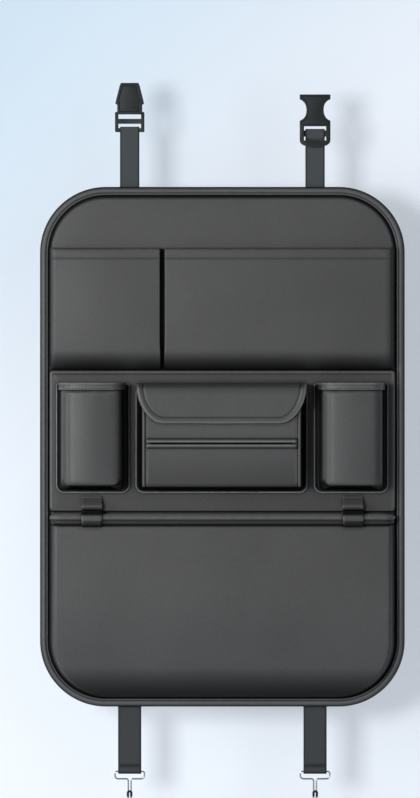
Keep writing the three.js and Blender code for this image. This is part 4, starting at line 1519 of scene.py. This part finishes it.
    def flap(self) -> None:
        """Builds the flap that folds over the top, with its sewn edge."""
        low, high = cad_box_mm("box_flap")
        front, top, foot = -low.y, high.z, low.z
        start = -high.y + 0.05
        side_line = route([[0, start, top], [0, front, top, self.flap_fold], [0, front, foot]], 14)
        path = resampled(side_line, 1.0)
        centre = (low.x + high.x) / 2
        half = (high.x - low.x) / 2
        drop = top - foot
        on_fold = path[:, 1] > front - self.flap_fold - 0.2
        fallen = np.where(on_fold, top - path[:, 2], 0.0)
        reach = np.clip(fallen / drop, 0.0, 0.9995)
        narrow = self.flap_end * (1 - np.sqrt(1 - reach ** 2))
        u = eased(100)
        x = centre + (half - narrow)[:, None] * (2 * u[None, :] - 1)
        rows = len(path)
        deep = np.broadcast_to(path[:, 1][:, None], (rows, len(u))).copy()
        z = np.broadcast_to(path[:, 2][:, None], (rows, len(u))).copy()
        beyond = top + 30
        curve = self.flap_curve(half, top, drop)
        edge = np.vstack([[[half, beyond]], curve, [[-half, beyond]]])
        edge[:, 0] += centre
        travelled = np.concatenate([[0], np.cumsum(np.linalg.norm(np.diff(path, axis=0), axis=1))])
        flat_z = np.minimum(top + (front - start) - travelled, beyond)
        flat_z = np.where(fallen > 0, z[:, 0], flat_z)
        flat = np.column_stack([x.ravel(), np.broadcast_to(flat_z[:, None], x.shape).ravel()])
        away = distance_to_loop(flat, edge).reshape(x.shape)
        on_front = smooth_step(fallen, 1.0, 6.0)[:, None]
        deep += groove(away, self.flap_stitch, 0.8, self.flap_groove) * on_front
        deep += 0.35 * np.exp(-((away - 2.6) / 2.2) ** 2) * on_front
        # Painted shade along the sewn groove and below the fold, a painted highlight along the
        # outer edge
        painted_shading = 0.6 * np.exp(-((away - self.flap_stitch) / 0.7) ** 2)
        painted_shading -= 0.9 * np.exp(-((away - 1.0) / 0.9) ** 2)
        painted_shading += 0.5 * (1 - smooth_step(fallen, 1.5, 15.0))[:, None]
        sheet = sheet_piece("box_cover", np.stack([x, deep, z], axis=2), self.flap_thick, painted_shading)
        settle(sheet, Finish.LEATHERETTE, replaces=["box_flap"])
        inner = self.flap_curve(half, top, drop, self.flap_stitch, start=0.25, steps=20)
        line = np.column_stack([inner[:, 0] + centre, np.full(len(inner), front - 0.5),
                                inner[:, 1]])
        Seam("box_cover_stitches", line).build()

    def build(self) -> None:
        """Builds the box."""
        self.gusset()
        self.front_panel()
        for side in ("left", "right"):
            self.edge(side)
        for name in ("upper", "lower"):
            self.lip_piece(name)
        self.flap()


# Lower pocket


@dataclass
class LowerPocket:
    """The large lower pocket, its beaded mouth and the two closure tabs."""

    panel: Panel
    inset: float = 11.3
    sheet: float = 2.4
    seat: float = 0.3
    swell: float = 6.0
    bead_half: float = 6.5
    bead_corner: float = 6.6
    bead_pinch: float = 0.1
    tab_thick: float = 1.8
    tab_hump: float = 9.0
    side_shoulder: float = 8.0
    foot_shoulder: float = 34.0
    columns: int = 150
    rows: int = 110

    def span(self, z: Array) -> Array:
        """Gives half the pocket's width at each height."""
        outline = self.panel.outline
        radius = outline.radius - self.inset
        over = np.clip(np.abs(z) - (outline.top - outline.radius), 0.0, radius)
        return outline.right - outline.radius + np.sqrt(radius ** 2 - over ** 2)

    def front(self) -> None:
        """Builds the pocket's front, which swells and curves in at its foot."""
        low, high = cad_box_mm("bottom_pocket")
        foot, mouth = low.z, high.z
        bead_front = -cad_box_mm("bottom_pocket_hem")[0].y
        stand = bead_front - self.bead_half - self.sheet / 2 - self.panel.face_depth
        u = eased(self.columns)
        z = foot + eased_from_foot(self.rows) * (mouth - foot)
        half = self.span(z)
        grid_x = half[:, None] * (2 * u[None, :] - 1)
        grid_z = np.broadcast_to(z[:, None], grid_x.shape)
        up = (grid_z - foot) / (mouth - foot)
        edge = half[:, None] - np.abs(grid_x)
        rise = shoulder(edge, self.side_shoulder) * shoulder(grid_z - foot, self.foot_shoulder)
        swell = stand + self.swell * np.sin(np.pi * up)
        depth = self.panel.face_depth + self.seat + self.sheet * 0.98 + swell * rise
        front = np.stack([grid_x, depth, grid_z], axis=2)
        # Painted shade at the sides, the foot and under the bead, over a wider band on the right
        # side
        sides = smooth_step(edge, 0.0, np.where(grid_x < 0, 7.0, 11.0))
        painted_shading = 1 - (0.15 + 0.85 * sides) * (0.08 + 0.92 * smooth_step(grid_z - foot, 2.0, 40.0))
        painted_shading = np.maximum(painted_shading, 0.8 * (1 - smooth_step(mouth - grid_z, 0.0, 3.0)))
        piece = sheet_piece("lower_pocket_front", front, self.sheet, painted_shading)
        settle(piece, Finish.LEATHERETTE, replaces=["bottom_pocket"])

    def bead(self) -> None:
        """Builds the rolled bead along the mouth."""
        low, high = cad_box_mm("bottom_pocket_hem")
        tall = (high.z - low.z) / 2
        wide = self.bead_half
        height = (low.z + high.z) / 2
        deep = -low.y - wide
        seat = -high.y
        side = (high.x - low.x) / 2 - wide
        line = route([[-side, seat, height], [-side, deep, height, self.bead_corner],
                      [side, deep, height, self.bead_corner], [side, seat, height]], 12)
        points = [line[0]]
        for start, end in zip(line[:-1], line[1:]):
            count = max(1, int(np.linalg.norm(end - start) / 6))
            points += [start + (end - start) * step / count for step in range(1, count + 1)]
        section = [(-6.4, 1.2), (-5.4, 3.6), (-3.0, 5.6), (0.5, 6.3), (3.4, 5.8), (5.4, 4.5),
                   (6.4, 2.7), (6.3, 1.0), (5.5, -0.2), (4.7, -0.7), (4.9, -1.5), (5.3, -2.6),
                   (5.1, -4.2), (3.9, -5.6), (0.8, -6.3), (-3.0, -5.6), (-5.4, -3.6), (-6.4, -1.2)]
        scale = np.array([1.0, tall / 6.3])
        # Painted highlight on the bead's upper crown, painted shade on its lower half and where it
        # meets the pocket
        painted_shading = [0.97, 0.97, 0.95, 0.3, -1.1, -0.5, -0.3, -0.3, 0.0, 0.6,
                  0.6, 0.62, 0.65, 0.7, 0.95, 0.95, 0.97, 0.97]
        line = np.array(points)
        heights = 1 - self.bead_pinch * smooth_step(np.abs(line[:, 0]), side - 9.0, side + 1.0)
        piece = profile_piece("mouth_bead", line, np.array(section) * scale, painted_shading, heights)
        settle(piece, Finish.LEATHERETTE, replaces=["bottom_pocket_hem"])

    def tab(self, side: str) -> None:
        """Builds one closure tab, which humps out and wraps over the bead."""
        low, high = cad_box_mm(f"closure_tab_{side}")
        half = self.tab_thick / 2
        flat = -high.y + half
        over = cad_box_mm("bottom_pocket_hem")[1].z + 0.3 + half
        front = -low.y - half
        under = low.z + half
        top = high.z
        line = route([[0, flat, top], [0, flat, top - 2.5, 2.5],
                      [0, flat + self.tab_hump, top - 11, 2.5],
                      [0, flat + 5, over + 0.3, 1.5], [0, front, over, 4.5],
                      [0, front, under, 2.5], [0, front - 6, under]], 8)
        # Painted shade and highlights along the tab by height: dark in the dip and under the bead,
        # a painted highlight on the ridge
        heights = [under - 1, under + 5.0, under + 7.0, over - 5.0, over - 2.2, over + 4.0,
                   over + 5.4, top - 8.5, top]
        depths = [0.99, 0.97, 0.0, -0.2, 0.85, 0.95, -0.9, -0.2, 0.2]
        piece = ribbon_piece(f"tab_{side}", line, self.tab_thick, low.x, high.x, 0.8,
                             lambda z: np.interp(z, heights, depths))
        settle(piece, Finish.LEATHERETTE, replaces=[f"closure_tab_{side}"])

    def build(self) -> None:
        """Builds the pocket, its bead and its tabs."""
        self.front()
        self.bead()
        for side in ("left", "right"):
            self.tab(side)


# Straps, buckle and hooks


@dataclass
class StrapWork:
    """The four straps, the two buckle halves and the two wire hooks."""

    top_thick: float = 1.5
    bottom_thick: float = 1.6
    clearance: float = 0.3
    wire: float = 0.9
    coat: float = 1.4
    stitch_height: float = 295.2
    stitch_half: float = 3.2
    stitch_inset: float = 2.4
    # The moulded halves are worked in metres, as they are packed
    buckle_slope: float = 0.0004
    buckle_round: float = 0.00045

    def strap(self, name: str, node: str, line: Array, thick: float,
              shade: Callable[[Array], Array] | None = None) -> None:
        """Builds one strap along its route, with painted shading given by height."""
        low, high = cad_box_mm(node)
        # Its two edges are painted darker
        piece = ribbon_piece(name, line, thick, low.x, high.x, 2.0, shade, 0.6)
        settle(piece, Finish.WEBBING, replaces=[node])

    def top_left(self) -> None:
        """Builds the left headrest strap with the loop round its buckle bar."""
        low, high = cad_box_mm("top_strap_left")
        half = self.top_thick / 2
        gap = self.clearance + half
        front, back = -half, -(high.y - half)
        crown = high.z - half
        tail = -(half + self.top_thick + self.clearance)
        bar = crown - gap - 2.2
        line = route([[0, front, low.z], [0, front, crown, gap + 0.3], [0, back, crown, gap + 0.3],
                      [0, back, bar - 4.4, 2.0], [0, tail, bar - 12.4, 2.0], [0, tail, bar - 26]])
        self.strap("headrest_strap_left", "top_strap_left", line, self.top_thick)

    def top_right(self) -> None:
        """Builds the right headrest strap, threaded through the socket half."""
        low, high = cad_box_mm("top_strap_right")
        half = self.top_thick / 2
        gap = self.clearance + half
        reach = 1.0 + gap
        crown = high.z - half
        bottom = crown - gap - 7.2
        tail = -(half + self.top_thick + self.clearance)
        line = route([[0, -half, low.z], [0, -half, bottom - 3.7, 1.2],
                      [0, reach, bottom - 0.9, 1.2], [0, reach, crown, reach - 0.01],
                      [0, -reach, crown, reach - 0.01], [0, -reach, bottom - 4.6, 2.0],
                      [0, tail, bottom - 8.6, 2.0], [0, tail, bottom - 26]])
        self.strap("headrest_strap_right", "top_strap_right", line, self.top_thick)

    def bottom(self, side: str) -> None:
        """Builds a lower strap with its sewn loop."""
        low, high = cad_box_mm(f"bottom_strap_{side}")
        half = self.bottom_thick / 2
        loop = self.wire + self.clearance + half
        back = -(half + 2 * loop)
        crown = low.z + half
        tail = -(half + self.bottom_thick + self.clearance)
        bar = crown + loop
        line = route([[0, -half, high.z], [0, -half, crown, loop - 0.01],
                      [0, back, crown, loop - 0.01], [0, back, bar + 1, 1.5],
                      [0, tail, bar + 6, 1.5], [0, tail, bar + 26]])
        # Painted shade under the loop's crown; the strap is also painted darker along its sewn band
        # and a little darker elsewhere
        levels = [low.z + 1.6, low.z + 3.0, bar + 5.2, bar + 6.0, bar + 8.2, bar + 9.0]
        self.strap(f"lower_strap_{side}", f"bottom_strap_{side}", line, self.bottom_thick,
                   lambda z: np.interp(z, levels, [0.95, 0.22, 0.22, 0.6, 0.6, 0.22]))
        width = (low.x + 1.5, high.x - 1.5)
        for number, height in enumerate((bar + 6.0, bar + 8.2)):
            line = np.array([[width[0], 0.02, height], [width[1], 0.02, height]])
            Seam(f"lower_strap_{side}_stitches_{number}", line, length=2.0, gap=0.4,
                 radius=0.45).build()

    def box_stitch(self, name: str, node: str, height: float) -> None:
        """Sews a strap's end to the rear with a long box and a cross."""
        low, high = cad_box_mm(node)
        left, right = low.x + self.stitch_inset, high.x - self.stitch_inset
        rear = -(self.bottom_thick if "bottom" in node else self.top_thick) - 0.02
        foot, top = height - self.stitch_half, height + self.stitch_half
        corners = [(left, foot), (right, foot), (right, top), (left, top), (left, foot),
                   (right, top), (right, foot), (left, top)]
        line = np.array([[x, rear, z] for x, z in corners])
        Seam(name, line, outward=(0.0, -1.0, 0.0), length=2.2, gap=0.8).build()

    def buckle(self, node: str, name: str, contour: float) -> None:
        """Rounds the edges of a moulded buckle half.

        Args:
            node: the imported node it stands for.
            name: the piece's name.
            contour: how far inside its outline the moulded line runs, in metres.
        """
        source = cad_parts[node]
        mesh = source.data.copy()
        mesh.name = name
        work = bmesh.new()
        work.from_mesh(mesh)
        bmesh.ops.remove_doubles(work, verts=work.verts, dist=2e-6)
        bmesh.ops.dissolve_limit(work, angle_limit=math.radians(1.0), verts=work.verts,
                                 edges=work.edges)
        flat = [face for face in work.faces if face.normal.y < -0.99]
        nearest = min(face.calc_center_median().y for face in flat)
        front = [face for face in flat if face.calc_center_median().y < nearest + 2e-4]
        if contour > 0.001:
            front = [max(flat, key=lambda face: face.calc_area())]
        slope = self.buckle_slope
        for step, rise in ((contour, 0.0), (slope, -0.00045), (contour * 0.37, 0.0),
                           (slope, 0.00035)):
            bmesh.ops.inset_region(work, faces=front, thickness=step, depth=rise)
        work.to_mesh(mesh)
        work.free()
        piece = linked(name, mesh)
        bevel = piece.modifiers.new("soft_edges", "BEVEL")
        bevel.width = self.buckle_round
        bevel.segments = 3
        bevel.limit_method = "ANGLE"
        bevel.angle_limit = math.radians(32)
        bevel.harden_normals = False
        mesh.shade_smooth()
        apply_modifiers(piece)
        piece.data.set_sharp_from_angle(angle=math.radians(38))
        settle(piece, Finish.PLASTIC, replaces=[node])

    def hook(self, side: str) -> None:
        """Builds the bent wire hook and its dipped end."""
        low, high = cad_box_mm(f"hook_wire_{side}")
        x = (low.x + high.x) / 2
        deep = -(high.y - self.wire)
        front = -(low.y + self.wire)
        z = high.z - self.wire
        across = (high.x - low.x) / 2 - self.wire
        length = high.z - low.z - 2 * self.wire
        bend = abs(front - deep) / 2 - 0.01
        leg, tip, rise, drop = 1.65, 2.1, 10.7, 8.6
        half_path = [[-0.2, deep, 0, 0], [-across, deep, 0, 2.4], [-across, deep, -drop, 3.8],
                     [-leg, deep, -drop, 2.4], [-leg, deep, -length, bend],
                     [-leg, front, -length, bend], [-tip, front, -length + rise, tip - 0.2]]
        other = [[-px, py, pz, radius] for px, py, pz, radius in half_path][::-1]
        corners = [[x + px, py, z + pz, radius] for px, py, pz, radius in half_path + other]
        wire = tube_piece(f"wire_{side}", route(corners, 10), self.wire, self.wire, 16,
                          up=(0, 1, 0))
        body = f"{side}_hook"
        settle(wire, Finish.WIRE, body=body, replaces=[f"hook_wire_{side}"])
        start = abs(front - deep) / 2 + 0.3
        start_x = leg + (tip - leg) * start / rise
        corners = [[x - start_x, front, z - length + start],
                   [x - tip, front, z - length + rise, tip - 0.2],
                   [x + tip, front, z - length + rise, tip - 0.2],
                   [x + start_x, front, z - length + start]]
        coat = tube_piece(f"dip_{side}", resampled(route(corners, 12), 0.5), self.coat, self.coat,
                          20, up=(0, 1, 0))
        settle(coat, Finish.DIP, body=body, replaces=[f"hook_tip_{side}"])

    def build(self) -> None:
        """Builds the straps, buckle halves and hooks."""
        self.top_left()
        self.top_right()
        for side in ("left", "right"):
            self.bottom(side)
            self.hook(side)
            self.box_stitch(f"top_strap_{side}_box_stitch", f"top_strap_{side}",
                            self.stitch_height)
            self.box_stitch(f"lower_strap_{side}_box_stitch", f"bottom_strap_{side}",
                            -self.stitch_height)
        self.buckle("buckle_male", "buckle_plain_half", contour=0.0019)
        self.buckle("buckle_female", "buckle_socket_half", contour=0.0008)


# Camera, light and backdrop


@dataclass
class Studio:
    """The plain backdrop, soft light and camera."""

    camera_x: float = -14.3
    camera_z: float = 55.1
    frame_height: float = 922.0
    distance: float = 5500.0
    wall_gap: float = 110.0
    wall_top: float = 2600.0
    floor_height: float = -620.0
    floor_front: float = 4200.0
    half_width: float = 3000.0
    cove: float = 250.0
    sensor: float = 36.0
    wall_colour: tuple[float, float, float] = (0.85, 0.905, 0.985)
    shaded_corner_colour: tuple[float, float, float] = (0.60, 0.74, 0.855)
    bounce_share: float = 0.6
    own_glow: float = 0.48
    sky_colour: tuple[float, float, float, float] = (0.96, 0.98, 1.0, 1.0)
    sky_strength: float = 0.13

    def camera(self) -> None:
        """Sets the level camera that looks straight at the pockets."""
        data = bpy.data.cameras.new("camera")
        data.sensor_width = self.sensor
        data.lens = self.sensor * self.distance / self.frame_height
        data.clip_end = 100.0
        camera = linked("camera", data)
        camera.location = Vector((self.camera_x, -self.distance, self.camera_z)) * MM
        camera.rotation_euler = (math.pi / 2, 0.0, 0.0)
        bpy.context.scene.camera = camera

    def backdrop_material(self) -> bpy.types.Material:
        """Builds the pale backdrop, which is open from behind and lets light through."""
        material, tree, shader = blank_material("backdrop")
        axes = tree.add("SeparateXYZ", {0: tree.place}).outputs
        # Painted shade: the backdrop turns darker and bluer towards its upper left corner
        corner = tree.ramp(tree.math("SUBTRACT", axes["Z"], axes["X"]), 0.2, 0.8)
        shade = tree.blend(corner, (*self.wall_colour, 1.0), (*self.shaded_corner_colour, 1.0))
        toned = tree.times(shade, tree.ramp(tree.noise(1.3, 1.0), 0.3, 0.7, 0.97, 1.03))
        path = tree.add("LightPath").outputs
        given_back = tree.ramp(path["Is Camera Ray"], 0.0, 1.0, self.bounce_share, 1.0)
        tree.feed(shader, {"Base Color": tree.times(toned, given_back), "Roughness": 0.95,
                           "Specular IOR Level": 0.1})
        glow = tree.add("Emission", {"Color": toned})
        seen = tree.math("MAXIMUM", path["Is Camera Ray"], path["Is Glossy Ray"])
        seen = tree.math("MAXIMUM", seen, path["Is Transmission Ray"])
        share = tree.math("MULTIPLY", seen, self.own_glow)
        lit = tree.add("MixShader", {0: share, 1: shader.outputs[0], 2: glow.outputs[0]})
        clear = tree.add("BsdfTransparent")
        rear = tree.add("NewGeometry").outputs["Backfacing"]
        seen_through = tree.add("MixShader", {0: rear, 1: lit.outputs[0], 2: clear.outputs[0]})
        tree.feed(material.node_tree.nodes["Material Output"],
                  {"Surface": seen_through.outputs[0]})
        return material

    def backdrop(self) -> None:
        """Builds a wall that curves into a floor."""
        radius = self.cove
        wall, floor = -self.wall_gap, self.floor_height
        side = [(wall, self.wall_top), (wall, floor + radius)]
        for step in range(1, 13):
            angle = step / 12 * math.pi / 2
            side.append((wall + radius * (1 - math.cos(angle)),
                         floor + radius * (1 - math.sin(angle))))
        side.append((self.floor_front, floor))
        corners = [(x * MM, -deep * MM, z * MM) for deep, z in side
                   for x in (-self.half_width, self.half_width)]
        faces = [(2 * i, 2 * i + 1, 2 * i + 3, 2 * i + 2) for i in range(len(side) - 1)]
        mesh = bpy.data.meshes.new("backdrop")
        mesh.from_pydata(corners, [], [face[::-1] for face in faces])
        mesh.shade_smooth()
        backdrop = linked("backdrop", mesh)
        backdrop.data.materials.append(self.backdrop_material())
        backdrop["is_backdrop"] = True

    def lamp(self, name: str, place: tuple[float, float, float], size: float,
             power: float) -> None:
        """Adds a square soft lamp aimed at the middle of the object."""
        data = bpy.data.lights.new(name, "AREA")
        data.shape = "SQUARE"
        data.size = size
        data.energy = power
        lamp = linked(name, data)
        lamp.location = place
        aim = Vector((0.0, 0.0, 0.0)) - Vector(place)
        lamp.rotation_euler = aim.to_track_quat("-Z", "Y").to_euler()

    def world(self) -> None:
        """Sets an even pale sky."""
        world = bpy.data.worlds.new("sky")
        world.use_nodes = True
        ground = world.node_tree.nodes["Background"]
        ground.inputs["Color"].default_value = self.sky_colour
        ground.inputs["Strength"].default_value = self.sky_strength
        bpy.context.scene.world = world

    def build(self) -> None:
        """Builds the studio."""
        self.camera()
        self.backdrop()
        self.lamp("key", (-1.3, -3.3, 0.3), size=0.7, power=75.0)
        self.lamp("side", (-3.0, -1.6, 0.35), size=1.2, power=50.0)
        self.lamp("fill", (2.0, -3.4, 0.9), size=2.4, power=17.0)
        self.world()
        bpy.context.scene.view_settings.view_transform = "Standard"


def write_sizes() -> None:
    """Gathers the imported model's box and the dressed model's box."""
    boxes = {"cad": CAD_BOX, "visual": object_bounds()}
    plain = {name: [list(low), list(high)] for name, (low, high) in boxes.items()}


def main() -> None:
    """Builds the object's parts in order, then the studio."""
    logging.basicConfig(level=logging.INFO, format="%(name)s: %(message)s")
    panel = Panel()
    panel.build()
    for side in ("left", "right"):
        UpperPocket(side, panel.face_depth).build()
    divider_seam(panel.face_depth)
    middle_depth = MiddlePanel().build()
    for side in ("left", "right"):
        Cup(side, middle_depth).build()
    CentreBox(middle_depth).build()
    LowerPocket(panel).build()
    StrapWork().build()
    Studio().build()
    write_sizes()


if __name__ == "__main__":
    main()
